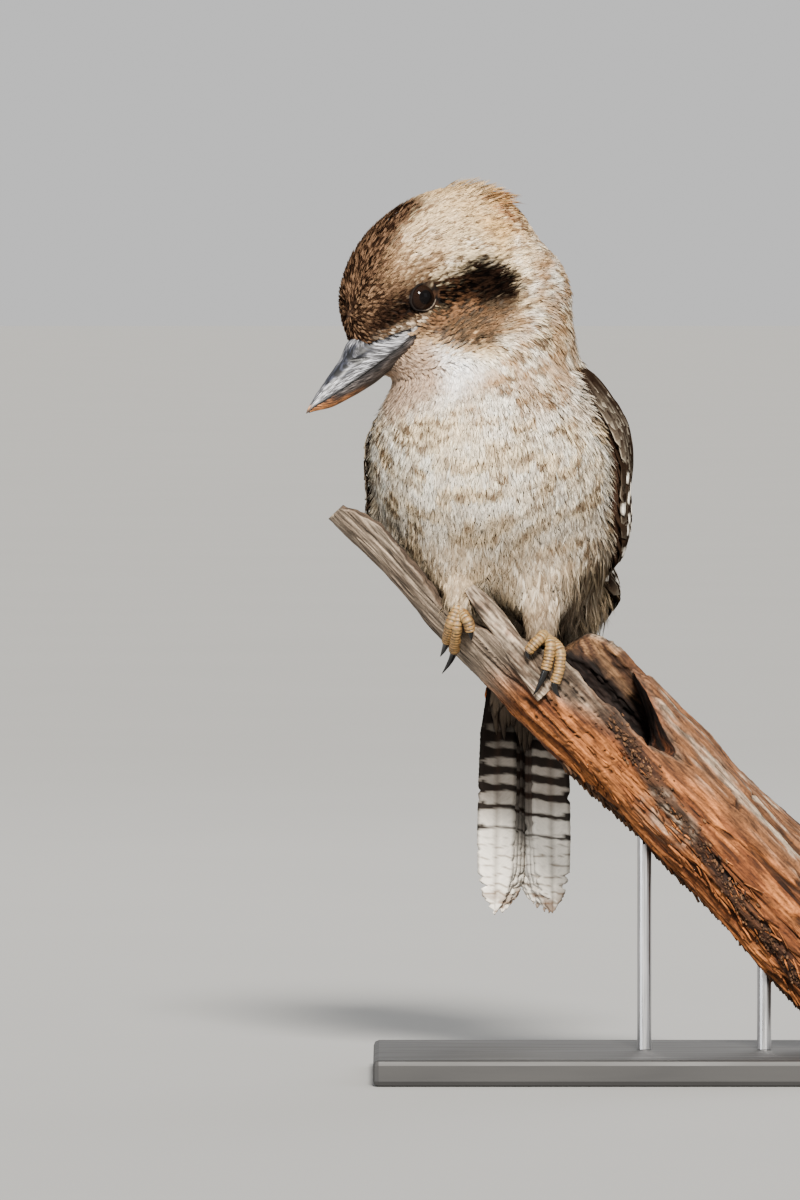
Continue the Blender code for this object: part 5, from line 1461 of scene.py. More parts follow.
def add_wing_vane(sheaf, place, angle, half, level, kind, side, lift, share, rng, stations=30, columns=9):
    """One wing feather from its root to its tip over the wing's surface."""
    along = np.linspace(0.0, 1.0, stations)
    end = place[1] + rng.uniform(-0.05, 0.05)
    places = place[0] + (end - place[0]) * along
    angles = angle[0] + (angle[1] + rng.uniform(-1.2, 1.2) - angle[0]) * along
    levels = 0.4 + (level - 0.4) * ramp(along, 0.0, 0.4) + 0.25 * share + rng.uniform(-0.15, 0.15)
    path = wing_point(places, angles, levels, side, lift)
    outward = wing_normal(places, angles, side, lift)
    tilt = np.cross(unit(np.gradient(path, axis=0)), outward) * (0.14 * side)
    notches = 3 if columns > 5 else 0
    shape = vane_shape(along, rng, notches=notches), vane_shape(along, rng, notches=notches)
    painter = wing_painter(kind, kind == "spotted", rng)
    sheaf.add_feather(path, outward + tilt, (half, half), shape, 0.5, 0.5, painter, rng, columns)


def add_wing_shell(sheaf, side, lift):
    """The wing's thin inner shell, drawn in a little at its rim."""
    places = np.linspace(WING_PLACES[0], SHELL_TOP, SHELL_ROWS)
    rings = []
    for place in places:
        front = np.interp(place, WING_PLACES, WING_FRONT)
        back = np.interp(place, WING_PLACES, WING_BACK)
        angles = np.linspace(front, back, SHELL_COLUMNS)
        inner = wing_point(place, angles, 0.0, side, lift)
        thick = np.full(SHELL_COLUMNS, 1.0)
        thick[[0, -1]] = 0.5
        outer = wing_point(place, angles[::-1], thick, side, lift)
        rings.append(np.concatenate([inner, outer]))
    rings = np.array(rings)
    colour = np.broadcast_to(LOOK.umber * 0.8, rings.shape)
    flat = together(places[:, None] * 30.0, np.arange(2.0 * SHELL_COLUMNS)[None, :])
    sheaf.add(rings if side < 0.0 else rings[:, ::-1], colour, flat)


TAIL_BASE = np.array([-33.5, 58.0, 190.0])
TAIL_TIP = np.array([-33.4, 103.0, 67.0])
TAIL_LONG = TAIL_TIP - TAIL_BASE
TAIL_SIDE = np.array([1.0, 0.0, 0.0])
TAIL_NORMAL = unit(np.array([0.0, 0.93, 0.36]))
RECTRICES = 6
RECTRIX_ALONG = np.array([0.1, 0.3, 0.5, 0.7, 0.84, 0.92, 0.97, 1.0])
RECTRIX_WIDTHS = np.array([10.0, 16.5, 17.5, 17.5, 16.5, 12.0, 6.0, 0.8])
RECTRIX_SPACING = 1.75
RECTRIX_LAYER = 0.85
MIDDLE_ASIDE = 4.5
MIDDLE_LAYER = 1.9
RECTRIX_STATIONS = 150
SPLITS = 7
# Heights of the dark bars across the tail's underside, with their thickness in millimetres.
TAIL_BARS = (
    (172.0, 4.6), (164.5, 4.6), (156.5, 4.8), (148.0, 4.8), (140.4, 4.4), (132.4, 3.9),
    (124.4, 3.2), (115.6, 1.9), (106.0, 1.1),
)


def tail_point(share, aside, over):
    """Places along the tail as a share of its length, beside its middle and over its plane."""
    return TAIL_BASE + TAIL_LONG * share[:, None] + TAIL_SIDE * aside[:, None] + TAIL_NORMAL * over[:, None]


def tail_painter(half, number, rng):
    """Paint for one tail feather: bars at set heights, sagging on one half, fading below.

    The underside is grey-white with dark bars, turning darker towards its top as the painted shadow of the
    limb; the upper side is rufous barred with black.
    """
    shift = rng.normal(0.0, 0.7)
    lean = rng.normal(0.0, 0.25)

    def paint(share, across, face, rings, length):
        x, y, z = np.moveaxis(rings, -1, 0)
        away = (x - TAIL_BASE[0]) / 20.0
        edge = 0.8 * (cloud(rings, 1.3, 95) - 0.5)
        slope = 2.4 * away if half > 0.0 else 1.6 * (away + 0.5) ** 2 * 4.0 - 1.6
        height = z + slope + shift + lean * across + edge
        outer = ramp(half * across, 0.45, 0.6) * (number == RECTRICES - 1)
        dark = 0.0
        for level, thick in TAIL_BARS:
            wide = thick * (0.5 + 0.22 * outer) + 0.7 * outer
            dark = np.maximum(dark, ramp(wide - np.abs(height - 1.5 * outer - level), -0.35, 0.35))
        # Painted shadow of the limb: the underside's grey darkens towards its top, and only its lower end
        # is white.
        upward = mixed(tint(168, 158, 146), tint(96, 86, 76), ramp(z, 138.0, 166.0))
        base = mixed(upward, LOOK.white, ramp(-z, -126.0, -104.0))
        grain = layered(together(x * 1.5, y, z / 3.0), 1.2, 97)
        base = base * (0.92 + 0.14 * grain)[..., None]
        lines = ramp(np.sin(z * 2.0 * np.pi / 4.4 + 8.0 * layered(rings, 5.0, 99)), 0.82, 0.97)
        base = mixed(base, LOOK.wash * 0.7, 0.8 * lines * ramp(-z, -112.0, -96.0))
        under = mixed(base, tint(26, 17, 13), 0.96 * dark)
        # The inner feathers darkened above 112 mm: more painted shadow of the limb.
        if number < RECTRICES - 1:
            under = mixed(under, tint(44, 31, 24), 0.75 * ramp(z, 92.0, 112.0))
        wave = ramp(np.sin(z * 2.0 * np.pi / 11.0 + 0.8 * np.abs(across) + shift), -0.35, 0.2)
        upper = mixed(LOOK.rufous, LOOK.soot, 0.9 * wave)
        upper = mixed(upper, LOOK.white, ramp(share, 0.82, 0.92) * 0.9)
        # The underside's upper part darkened further: painted shadow of the limb.
        under = under * (1.0 - 0.75 * ramp(z, 126.0, 158.0))[..., None]
        colour = np.where(((face > 0.0) & (np.abs(across) < 0.8))[..., None], upper, under)
        tip = ramp(share, 0.86, 0.97) * ramp(cloud(rings, 2.4, 101), 0.3, 0.55)
        colour = mixed(colour, tint(110, 78, 52), 0.8 * tip)
        return mixed(colour, LOOK.umber, 0.45 * bell(across / 0.05))

    return paint


def make_tail():
    """The tail: twelve long barred feathers with their coverts, and its thick root inside."""
    rng = np.random.default_rng(SEED + 7)
    paint = feather_paint("tail feathers", 0.75, 2.6, 0.2, 0.04)
    sheaf = Sheaf()
    along = np.linspace(0.06, 1.0, RECTRIX_STATIONS)
    for half in (-1.0, 1.0):
        for number in range(RECTRICES):
            length = 1.0 - 0.008 * (RECTRICES - 1 - number) + rng.uniform(-0.03, 0.006)
            spread = 0.84 + 0.16 * along
            aside = half * (MIDDLE_ASIDE + RECTRIX_SPACING * number) * spread
            layer = (MIDDLE_LAYER - RECTRIX_LAYER * number + 0.12 * half) * (1.4 - 0.5 * along)
            path = tail_point(along * length, aside, layer)
            outward = np.broadcast_to(TAIL_NORMAL + 0.03 * half * TAIL_SIDE, path.shape)
            widths = 0.5 * np.interp(along, RECTRIX_ALONG, RECTRIX_WIDTHS)
            ragged = [widths / widths.max() * notched(along, rng) for _ in range(2)]
            painter = tail_painter(half, number, rng)
            sheaf.add_feather(path, outward, (widths.max(),) * 2, ragged, 0.42, 0.35, painter, rng)
    add_tail_coverts(sheaf, rng)
    add_tail_root(sheaf)
    settle(sheaf.build("tail_feathers", paint), "brown_plumage", "tail")


def notched(along, rng):
    """A width factor near one with fine tooth and a few narrow splits."""
    factor = 1.0 + 0.015 * rng.uniform(-1.0, 1.0, len(along)) * (1.0 + 9.0 * ramp(along, 0.85, 1.0))
    for _ in range(SPLITS):
        where = 1.0 - 0.5 * rng.uniform() ** 2
        deep = rng.uniform(0.05, 0.15 + 0.7 * ramp(where, 0.8, 0.95))
        factor = factor * (1.0 - deep * bell((along - where) / 0.007))
    return factor


COVERT_STATIONS = 12
# Side of the tail, rows, reach as a share of the tail, half width and feathers in a row.
TAIL_COVERTS = ((-1.0, 6, 0.36, 2.0, 13), (1.0, 3, 0.36, 3.6, 8))
ROOT_ROWS = 12
ROOT_SIDES = 40
ROOT_LONG = 0.9
# Dark grey-brown of the fluff under the tail: painted shade.
SHADED_FLUFF = tint(50, 43, 37)


def add_tail_coverts(sheaf, rng):
    """Pointed coverts over and under the tail's root, in rows that shorten outward."""
    along = np.linspace(0.0, 1.0, COVERT_STATIONS)
    for face, rows, reach, half, count in TAIL_COVERTS:
        for row in range(rows):
            for step in range(count):
                share = 2.0 * (step + 0.5 * (row % 2)) / (count - 0.5) - 1.0
                fade = 1.0 - 0.66 * row / rows
                end = reach * fade * (1.0 - 0.25 * abs(share)) * rng.uniform(0.8, 1.1)
                places = end * along
                deep = np.interp(places, (0.0, 0.1, 0.2, 0.3, 0.4), (6.5, 8.4, 7.6, 6.0, 4.2))
                deep = face * (deep + 1.4 * row / rows) * (1.0 - 0.22 * share * share)
                aside = share * np.interp(places, (0.0, 0.2, 0.4), (10.0, 15.0, 12.0))
                aside = aside + rng.normal(0.0, 0.8) * along
                path = tail_point(places, aside, deep)
                outward = np.broadcast_to(face * TAIL_NORMAL + 0.25 * share * TAIL_SIDE, path.shape)
                shape = vane_shape(along, rng, 0.6, 2, 0.2), vane_shape(along, rng, 0.6, 2, 0.2)
                painter = covert_painter(face, rng)
                sheaf.add_feather(path, outward, (half, half), shape, 0.4, 0.4, painter, rng, 5)


def covert_painter(face, rng):
    """Paint for a tail covert: the pale fluff below painted dark as painted shade, rufous with black bars
    above.
    """
    shift = rng.uniform(-1.0, 1.0)

    def paint(share, across, side, rings, length):
        grain = cloud(rings, 1.4, 103)[..., None]
        if face < 0.0:
            return mixed(SHADED_FLUFF, LOOK.wash * 0.2, 0.7 * grain[..., 0])
        wave = ramp(np.sin(length * 2.0 * np.pi / 10.0 + shift), -0.2, 0.3)
        return mixed(LOOK.rufous, LOOK.soot, 0.9 * wave) * (0.85 + 0.3 * grain)

    return paint


def add_tail_root(sheaf):
    """The tail's thick root, a taper from the rump's section to a flat oval.

    It is coloured as the coverts on it: rufous with black bars above, and below the dark fluff that is
    painted shade.
    """
    angles = np.arange(ROOT_SIDES) * 360.0 / ROOT_SIDES
    centre, direction = spine_ray(0.0, angles)
    rump = flesh_radius(centre, direction) - 2.2
    turn = np.radians(angles)
    end = 1.0 / np.sqrt((np.cos(turn) / 16.0) ** 2 + (np.sin(turn) / 3.0) ** 2)
    rings = []
    for place in np.linspace(0.0, -ROOT_LONG, ROOT_ROWS):
        share = -place / ROOT_LONG
        middle, across = spine_ray(np.full(ROOT_SIDES, place), angles)
        radius = rump * (1.0 - share) * (1.0 - 0.3 * share) + end * share
        rings.append(middle + radius[:, None] * across)
    rings = np.array(rings)
    flat = together(np.arange(float(ROOT_ROWS))[:, None] * 3.0, angles[None, :] / 4.0)
    stripe = ramp(np.sin(rings[..., 2] * 2.0 * np.pi / 10.0 + 3.0 * layered(rings, 9.0, 105)), -0.2, 0.3)
    barred = mixed(LOOK.rufous, LOOK.soot, 0.9 * stripe)
    above = ramp((rings - rings.mean(axis=1, keepdims=True)) @ TAIL_NORMAL, -1.0, 1.0)
    colour = mixed(SHADED_FLUFF, barred, above)
    sheaf.add(rings[:, ::-1], colour[:, ::-1], flat)


LIMB_START = np.array([-44.1, 0.0, 210.2])
LIMB_SLOPE = math.radians(45.6)
LIMB_RADIUS = 28.0
LIMB_END = 236.0
HOLLOW_END = 88.0
LOG_ROWS = 190
LOG_COLUMNS = 280
MOUTH_ROWS = 14
DISC_ROWS = 22
WALL_STEPS = 120
WALL_OPENS = 34.0
SLAT_ROWS = 150
WALL_ROWS = 90
SPLINTER_ROWS = 120
SPLINTER_SIDES = 64
CRUMBS = 1100
SLIT_ANGLE = 114.0
SLIT_LONG = 16.0
SLIT_HALF = 20.0
CLOSED_EARLY = 22.0
LIP_SUNK = 3.0


def limb_axis():
    """The limb's direction, down to the lower right."""
    return np.array([math.cos(LIMB_SLOPE), 0.0, -math.sin(LIMB_SLOPE)])


def limb_point(along, across, depth):
    """A place on the limb: along its axis, across it towards the upper right, and in depth."""
    rise = np.array([math.sin(LIMB_SLOPE), 0.0, math.cos(LIMB_SLOPE)])
    along, across, depth = (np.asarray(v, float)[..., None] for v in (along, across, depth))
    return LIMB_START + along * limb_axis() + across * rise + depth * np.array([0.0, 1.0, 0.0])


def limb_round(along, angle, radius):
    """A place by its angle round the limb: 0 below, 90 in front, 180 above, -90 behind."""
    turn = np.radians(angle)
    return limb_point(along, -radius * np.cos(turn), -radius * np.sin(turn))


def limb_grain(along, angle):
    """Long low ridges of the weathered wood, in millimetres."""
    turn = np.radians(angle)
    ridge = 0.9 * np.sin(7.0 * turn + 0.03 * along) + 0.6 * np.sin(11.0 * turn - 0.021 * along + 1.0)
    swell = 1.2 * np.sin(0.035 * along + 2.0 * turn) + 0.7 * np.sin(0.09 * along + 3.0 * turn + 2.0)
    flat = 1.0 - np.cos(turn)
    return 0.6 * ridge + 0.7 * swell - 0.6 * flat


WALL_ALONG = np.array([-84.0, -66.0, -46.0, -22.0, -8.0, 6.0, 16.0, 28.0, 35.0, 46.0, 64.0, 84.0, 102.0])
WALL_FRONT = np.array([42.0, 62.0, 58.0, 47.0, 51.0, 72.0, 86.0, 95.0, 99.0, 100.0, 100.0, 100.0, 100.0])
WALL_BACK = np.array(
    [8.0, 8.0, 7.0, 4.0, -6.0, -24.0, -44.0, -66.0, -138.0, -158.0, -160.0, -158.0, -156.0]
)
WALL_THICK = np.array([4.5, 6.5, 7.0, 7.5, 8.5, 9.5, 10.0, 10.0, 9.5, 9.5, 10.0, 11.0, 12.0])


def wood_relief(along, angle):
    """Height of the wood's fine relief: long grain, deep lengthwise cracks and small flakes."""
    arc = np.radians(angle) * LIMB_RADIUS
    flat = together(along / 9.0, arc, 0.0)
    grain = layered(flat, 2.2, 201, 3)
    crack_field = layered(together(along / 16.0, arc, 0.0), 5.0, 203, 2)
    crack = ramp(-np.abs(crack_field - 0.5), -0.034, -0.004)
    flakes = layered(together(along / 4.0, arc, 0.0), 4.4, 205, 2)
    steps = np.floor(flakes * 7.0) / 7.0
    return grain, crack, steps


def rot_angle(along):
    """The angle round the limb of its dark strip of rot."""
    return 96.0 - 0.36 * (along - 60.0)


def limb_paint(along, angle, grain, crack, steps):
    """Wood colours by place: raw orange wood in front, grey weathered sides, dark rot strip."""
    high = np.interp(along, (0.0, 30.0, 90.0, 130.0), (46.0, 58.0, 98.0, 108.0)) + 24.0 * (grain - 0.5)
    raw = ramp(along, 4.0, 40.0) * ramp(angle, -50.0, -10.0) * ramp(high - angle, -14.0, 12.0)
    colour = mixed(LOOK.grey_wood, LOOK.silver_wood, ramp(grain, 0.35, 0.7))
    top = ramp(along, 40.0, 60.0) * ramp(np.abs(angle), 84.0, 104.0)
    weathered = mixed(tint(104, 66, 38), LOOK.silver_wood, ramp(grain, 0.56, 0.8))
    colour = mixed(colour, weathered, 0.9 * top)
    orange = mixed(LOOK.raw_dark, LOOK.raw_wood, ramp(0.5 * grain + 0.5 * steps, 0.34, 0.62))
    colour = mixed(colour, orange, raw)
    strip_middle = rot_angle(along)
    strip = ramp(9.0 - np.abs(angle - strip_middle) + 8.0 * (grain - 0.5), -2.5, 3.0)
    strip = strip * ramp(along, 48.0, 70.0)
    colour = mixed(colour, mixed(LOOK.rot, LOOK.bark, grain), 0.9 * strip)
    # Cracks and the ledges of the grain painted darker: painted shade in them.
    colour = colour * (1.0 - 0.8 * crack)[..., None]
    ledge_shade = ramp(np.abs((grain * 9.0) % 1.0 - 0.5), 0.36, 0.5)
    colour = colour * (1.0 - 0.45 * ledge_shade)[..., None]
    dark = ramp(-angle, -8.0, 24.0) * ramp(along, 40.0, 90.0)
    return mixed(colour, LOOK.bark, 0.75 * dark) * 0.9, strip


def limb_log():
    """The limb's solid lower length, from inside the hollow down to its sawn end.

    Radius(along, angle) = limb radius + ridges + fine relief; the sawn end is a disc whose
    growth rings are in its paint.
    """
    angle = np.linspace(0.0, 360.0, LOG_COLUMNS, endpoint=False)[None, :]
    wrapped = np.where(angle > 180.0, angle - 360.0, angle)
    from_slit = np.abs(angle - SLIT_ANGLE)
    start = HOLLOW_END - 4.0 + SLIT_LONG * ramp(-from_slit, -SLIT_HALF, 0.0)
    start = start - CLOSED_EARLY * ramp(angle, 126.0, 160.0) * ramp(-angle, -236.0, -206.0)
    start = start + 9.0 * (layered(together(angle / 7.0, 0.0, 0.0), 1.0, 213) - 0.5)
    share = np.linspace(0.0, 1.0, LOG_ROWS)[:, None]
    along = start + (LIMB_END - start) * share
    along, wrapped = np.broadcast_arrays(along, wrapped)
    grain, crack, steps = wood_relief(along, wrapped)
    colour, strip = limb_paint(along, wrapped, grain, crack, steps)
    crumbly = cloud(together(along, wrapped * 0.5, 0.0), 2.2, 207)
    relief = 1.5 * (grain - 0.5) - 2.2 * crack + 2.0 * (steps - 0.4) + 1.2 * strip * crumbly
    knot = np.hypot((along - 118.0) / 20.0, (wrapped - 62.0) / 34.0)
    swirl = np.sin(knot * 15.0) * np.exp(-(knot**2))
    relief = relief + 0.35 * swirl - LIP_SUNK * ramp(-(along - start), -8.0, 0.0)
    plate = np.exp(-((knot / 0.8) ** 4))
    silver = mixed(LOOK.silver_wood, LOOK.grey_wood, ramp(swirl, -0.4, 0.3))
    colour = mixed(colour, silver, 0.5 * plate * ramp(grain, 0.3, 0.6))
    rim = ramp(-(along - start), -7.0, -1.0) * ramp(-from_slit, -100.0, -60.0)
    torn = mixed(LOOK.grey_wood, LOOK.raw_dark, ramp(grain, 0.4, 0.7))
    colour = mixed(colour, torn, 0.8 * rim)
    radius = LIMB_RADIUS + limb_grain(along, wrapped) + relief
    body = limb_round(along, wrapped, radius)
    share = np.linspace(0.96, 0.02, DISC_ROWS)[:, None]
    last = radius[-1][None, :] * share
    end_angle = np.broadcast_to(wrapped[-1], last.shape)
    uneven = cloud(together(last, end_angle * 0.2, 0.0), 1.5, 209)
    ripple = 0.25 * np.sin(last * 2.4) + 0.5 * (uneven - 0.5)
    disc = limb_round(LIMB_END + 0.3 * ripple, end_angle, last)
    wander = cloud(together(last, end_angle * 0.1, 0.0), 4.0, 211)
    rings_paint = 0.5 + 0.5 * np.sin(last * 2.6 + 2.0 * wander)
    disc_paint = mixed(tint(198, 158, 112), tint(142, 98, 62), 0.7 * rings_paint)
    disc_paint = mixed(disc_paint, LOOK.bark, ramp(share, 0.9, 0.96) + 0.0 * last)
    first_share = np.linspace(0.05, 0.97, MOUTH_ROWS)[:, None]
    hub = HOLLOW_END + 4.0
    inward = hub + (along[0] - hub) * first_share**2
    rough = layered(together(first_share * 20.0, angle / 5.0, 0.0), 3.0, 215)
    inward = inward + 5.0 * (rough - 0.5) * (1.0 - first_share)
    mouth = limb_round(inward, wrapped[0], radius[0] * first_share)
    rings = np.concatenate([mouth, body, disc])
    mouth_paint = mixed(LOOK.rot, LOOK.raw_dark, 0.5 * ramp(rough, 0.5, 0.75))
    paint = np.concatenate([mouth_paint, colour, disc_paint])
    return rings, paint


def limb_wall():
    """The broken shell above the hollow: an arc of wall whose edges wander and fray.

    At each place along the limb the arc runs from its back edge to its front edge on the
    outside and returns on the inside; its thickness tapers at both torn edges.
    """
    slat_rows = np.linspace(WALL_ALONG[0], WALL_OPENS, SLAT_ROWS)
    rows = np.concatenate([slat_rows, np.linspace(WALL_OPENS, WALL_ALONG[-1], WALL_ROWS)[1:]])
    step = np.linspace(0.0, 1.0, WALL_STEPS)
    front = np.interp(rows, WALL_ALONG, WALL_FRONT)
    back = np.interp(rows, WALL_ALONG, WALL_BACK)
    thick = np.interp(rows, WALL_ALONG, WALL_THICK)
    torn = together(rows / 2.0, 0.0, 0.0)
    front = front + 7.0 * (layered(torn, 3.0, 221, 3) - 0.5)
    back = back + 8.0 * (layered(torn + 50.0, 3.0, 223, 3) - 0.5)
    angle = back[:, None] + (front - back)[:, None] * step[None, :]
    along = np.broadcast_to(rows[:, None], angle.shape)
    grain, crack, steps = wood_relief(along, angle)
    colour, _ = limb_paint(along, angle, grain, crack, steps)
    slat = ramp(-along, -24.0, -2.0)
    colour = mixed(colour, mixed(LOOK.silver_wood, LOOK.grey_wood, grain), slat)
    relief = 1.5 * (grain - 0.5) - 2.1 * crack + (1.9 - 1.4 * slat) * (steps - 0.4)
    sunk = LIP_SUNK * ramp(along, HOLLOW_END + 4.0, HOLLOW_END + 13.0)
    outer_radius = LIMB_RADIUS - sunk + limb_grain(along, angle) + relief
    taper = np.minimum(1.0, 0.3 + 7.0 * np.minimum(step, 1.0 - step))[None, :]
    crumbs = cloud(together(along, angle * 0.5, 0.0), 2.4, 225)
    inner_radius = LIMB_RADIUS + limb_grain(along, angle) - thick[:, None] * taper - 1.6 * (crumbs - 0.5)
    inner_radius = np.minimum(inner_radius, outer_radius - 0.6)
    outer = limb_round(along, angle, outer_radius)
    inner = limb_round(along, angle, inner_radius)[:, ::-1]
    # The wall's inside is the rot's colour darkened further as painted shade in the hollow, with patches of
    # painted light near its front edge.
    lit = ramp(crumbs, 0.52, 0.72) * np.exp(-((step - 0.92) / 0.12) ** 2)[None, :]
    dark = mixed(LOOK.rot * 0.7, LOOK.raw_dark, 0.8 * lit)
    back_rim = ramp(-step, -0.10, -0.025)[None, :] * ramp(along, 20.0, 40.0)
    rim_wood = mixed(tint(70, 46, 30), tint(140, 104, 72), ramp(grain, 0.4, 0.65))
    dark = mixed(dark, rim_wood, back_rim * (0.55 + 0.45 * crumbs))
    dark = mixed(dark, LOOK.grey_wood, slat)
    rings = np.concatenate([outer, inner], axis=1)
    return rings, np.concatenate([colour, dark[:, ::-1]], axis=1)


def limb_splinter():
    """The flat splinter that stands up between the feet, grained lengthwise."""
    q = np.array([-18.0, -6.0, 8.0, 22.0, 40.0])
    middle = np.array([-3.5, -4.2, -6.0, -9.0, -13.0])
    half = np.array([2.6, 4.6, 5.0, 5.0, 4.0])
    front = np.array([-25.5, -27.0, -28.0, -28.5, -27.0])
    back = np.array([-22.5, -21.0, -20.5, -20.0, -19.0])
    rows = smooth_row(together(q, middle, half, front, back), np.linspace(0.0, 4.0, SPLINTER_ROWS))
    turn = np.linspace(0.0, 2.0 * np.pi, SPLINTER_SIDES, endpoint=False)
    across = np.sign(np.cos(turn)) * np.abs(np.cos(turn)) ** 0.5
    deep = np.sign(np.sin(turn)) * np.abs(np.sin(turn)) ** 0.5
    along = np.broadcast_to(rows[:, :1], (SPLINTER_ROWS, SPLINTER_SIDES))
    b = rows[:, 1:2] + rows[:, 2:3] * across[None, :]
    d = 0.5 * (rows[:, 3:4] + rows[:, 4:5]) + 0.5 * (rows[:, 4:5] - rows[:, 3:4]) * deep[None, :]
    grain = layered(together(along / 10.0, b, d), 1.1, 231)
    b = b + 0.9 * (grain - 0.5)
    d = d + 0.9 * (grain - 0.5)
    colour = mixed(LOOK.grey_wood, LOOK.silver_wood, ramp(grain, 0.35, 0.65))
    colour = mixed(colour, LOOK.raw_dark, 0.5 * ramp(grain, 0.62, 0.8))
    return limb_point(along, b, d), colour


def limb_crumbs(rng):
    """Crumbs of rot and frayed bark: small bent flakes along the strip and the lower edge."""
    parts = Sheaf()
    share = np.linspace(0.0, 1.0, 4)
    for _ in range(CRUMBS):
        place = rng.uniform(66.0, 228.0)
        kind = rng.uniform()
        if kind < 0.5:
            angle = rot_angle(place) + rng.normal(0.0, 5.0)
            length, half = rng.uniform(0.8, 2.6), rng.uniform(0.3, 1.0)
        elif kind < 0.85:
            angle = rng.uniform(-14.0, 14.0)
            length, half = rng.uniform(2.0, 8.0), rng.uniform(0.4, 1.5)
        else:
            angle = rng.uniform(15.0, 80.0)
            length, half = rng.uniform(4.0, 12.0), rng.uniform(0.2, 0.6)
        radius = LIMB_RADIUS + float(limb_grain(place, angle)) - 0.4
        way = rng.normal(0.0, 0.25)
        rise = (0.4 + 1.3 * rng.uniform()) * share**1.5
        path = limb_round(place + length * share, angle + 2.0 * way * length * share, radius + rise)
        outward = np.broadcast_to(unit(path[0] - limb_point(place, 0.0, 0.0)), path.shape)
        shape = 0.35 + 0.65 * np.sin(np.pi * np.clip(share * 0.9 + 0.05, 0.0, 1.0))
        shape = shape * rng.uniform(0.8, 1.2, len(share))
        tone = mixed(LOOK.bark, tint(98, 68, 44), rng.uniform())
        if kind >= 0.85:
            tone = 0.8 * mixed(LOOK.raw_wood, LOOK.raw_dark, rng.uniform())

        def paint(share, across, face, rings, length, tone=tone * rng.uniform(0.7, 1.4)):
            return np.broadcast_to(tone, rings.shape)

        parts.add_feather(path, outward, (half, half), (shape, shape), 0.9, 0.2, paint, rng, 3)
    return parts


def make_limb():
    """The broken limb: log, shell, splinter and crumbs in one weathered piece."""
    work = Paintwork("weathered wood", Roughness=0.86, Specular_IOR_Level=0.2)
    turned = work.add("ShaderNodeMapping", Rotation=(0.0, -LIMB_SLOPE, 0.0))
    work.link(*work.place(), turned, "Vector")
    fibre = work.noise((turned, "Vector"), 700.0, 5.0, (0.10, 1.0, 1.0))
    pores = work.noise(work.place(), 1100.0, 3.0)
    shade = work.levels(fibre, "Fac", 0.36, 0.66, 0.32, 1.45)
    grit = work.levels(pores, "Fac", 0.35, 0.7, 0.8, 1.12)
    work.wear(shade, grit)
    work.bump(fibre, "Fac", 0.8, 0.0011)
    crumbs = limb_crumbs(np.random.default_rng(SEED + 11))
    points, faces, colours = tube_sheet([limb_log(), limb_wall(), limb_splinter()])
    points, faces, colours = (
        np.concatenate([first, *rest])
        for first, rest in (
            (points, crumbs.points),
            (faces, [group + len(points) for group in crumbs.faces]),
            (colours, crumbs.colours),
        )
    )
    settle(make_piece("broken_limb", points, faces, work.material, colours), "limb_wood", "perch")


# Each toe is drawn by its distance along the limb, its angle round it and its radius.
FEET = {
    "right": {
        "hip": (-62.0, -10.0, 231.0),
        "ankle": (-16.0, 58.5, 22.5),
        "toes": (
            ((-14.5, 58.5, 28.0), (-12.5, 52.0, 32.0), (-10.0, 42.0, 32.0), (-7.5, 30.0, 31.8)),
            ((-13.0, 58.0, 28.0), (-9.5, 53.0, 32.0), (-5.5, 41.0, 32.0), (-2.2, 28.0, 31.8)),
            ((-12.5, 60.0, 27.0), (-8.8, 64.0, 31.6), (-6.2, 62.5, 32.2), (-4.0, 59.5, 32.0)),
            ((-17.0, 59.0, 17.0), (-17.5, 52.0, 13.0), (-17.0, 36.0, 12.8), (-16.0, 20.0, 13.0)),
        ),
        "claws": ((-4.6, 14.0, 35.5), (1.4, 14.0, 40.5), (-0.5, 54.0, 32.6), (-15.0, 4.0, 15.3)),
    },
    "left": {
        "hip": (-27.0, -11.0, 219.0),
        "ankle": (21.0, 100.0, 22.5),
        "toes": (
            ((20.5, 101.0, 28.0), (20.3, 96.0, 32.3), (20.4, 88.0, 33.0), (20.7, 82.5, 32.6)),
            ((23.5, 101.5, 28.0), (26.0, 98.0, 32.3), (29.5, 90.0, 32.6), (32.2, 82.0, 32.8)),
            ((26.0, 103.0, 27.5), (31.0, 100.0, 32.2), (36.2, 90.0, 32.4), (39.2, 80.0, 32.4)),
            ((19.5, 104.0, 17.0), (18.5, 98.0, 12.8), (18.0, 80.0, 12.8), (18.0, 62.0, 13.0)),
        ),
        "claws": ((23.6, 79.0, 33.6), (36.4, 61.0, 34.2), (46.0, 75.0, 32.6), (18.5, 44.0, 15.3)),
    },
}
TOE_ROOT_RADIUS = 2.75
TOE_END_RADIUS = 2.3
FOOT_RADIUS = 3.0
LEG_RADIUS = 2.8
SCUTE = 1.5
TOE_ROWS = 110
TOE_PARTS = 9
LEG_ROWS = 60
BALL_ROWS = 24
TUBE_SIDES = 36
CLAW_ROWS = 48
CLAW_SIDES = 20
TO_FRONT = (0.0, -1.0, 0.0)


def toe_path(ankle, toe, count):
    """A toe's middle line, a smooth curve from the ankle through its places on the limb."""
    along, angle, radius = np.array((ankle, *toe), float).T
    return smooth_row(limb_round(along, angle, radius), np.linspace(0.0, float(len(toe)), count))


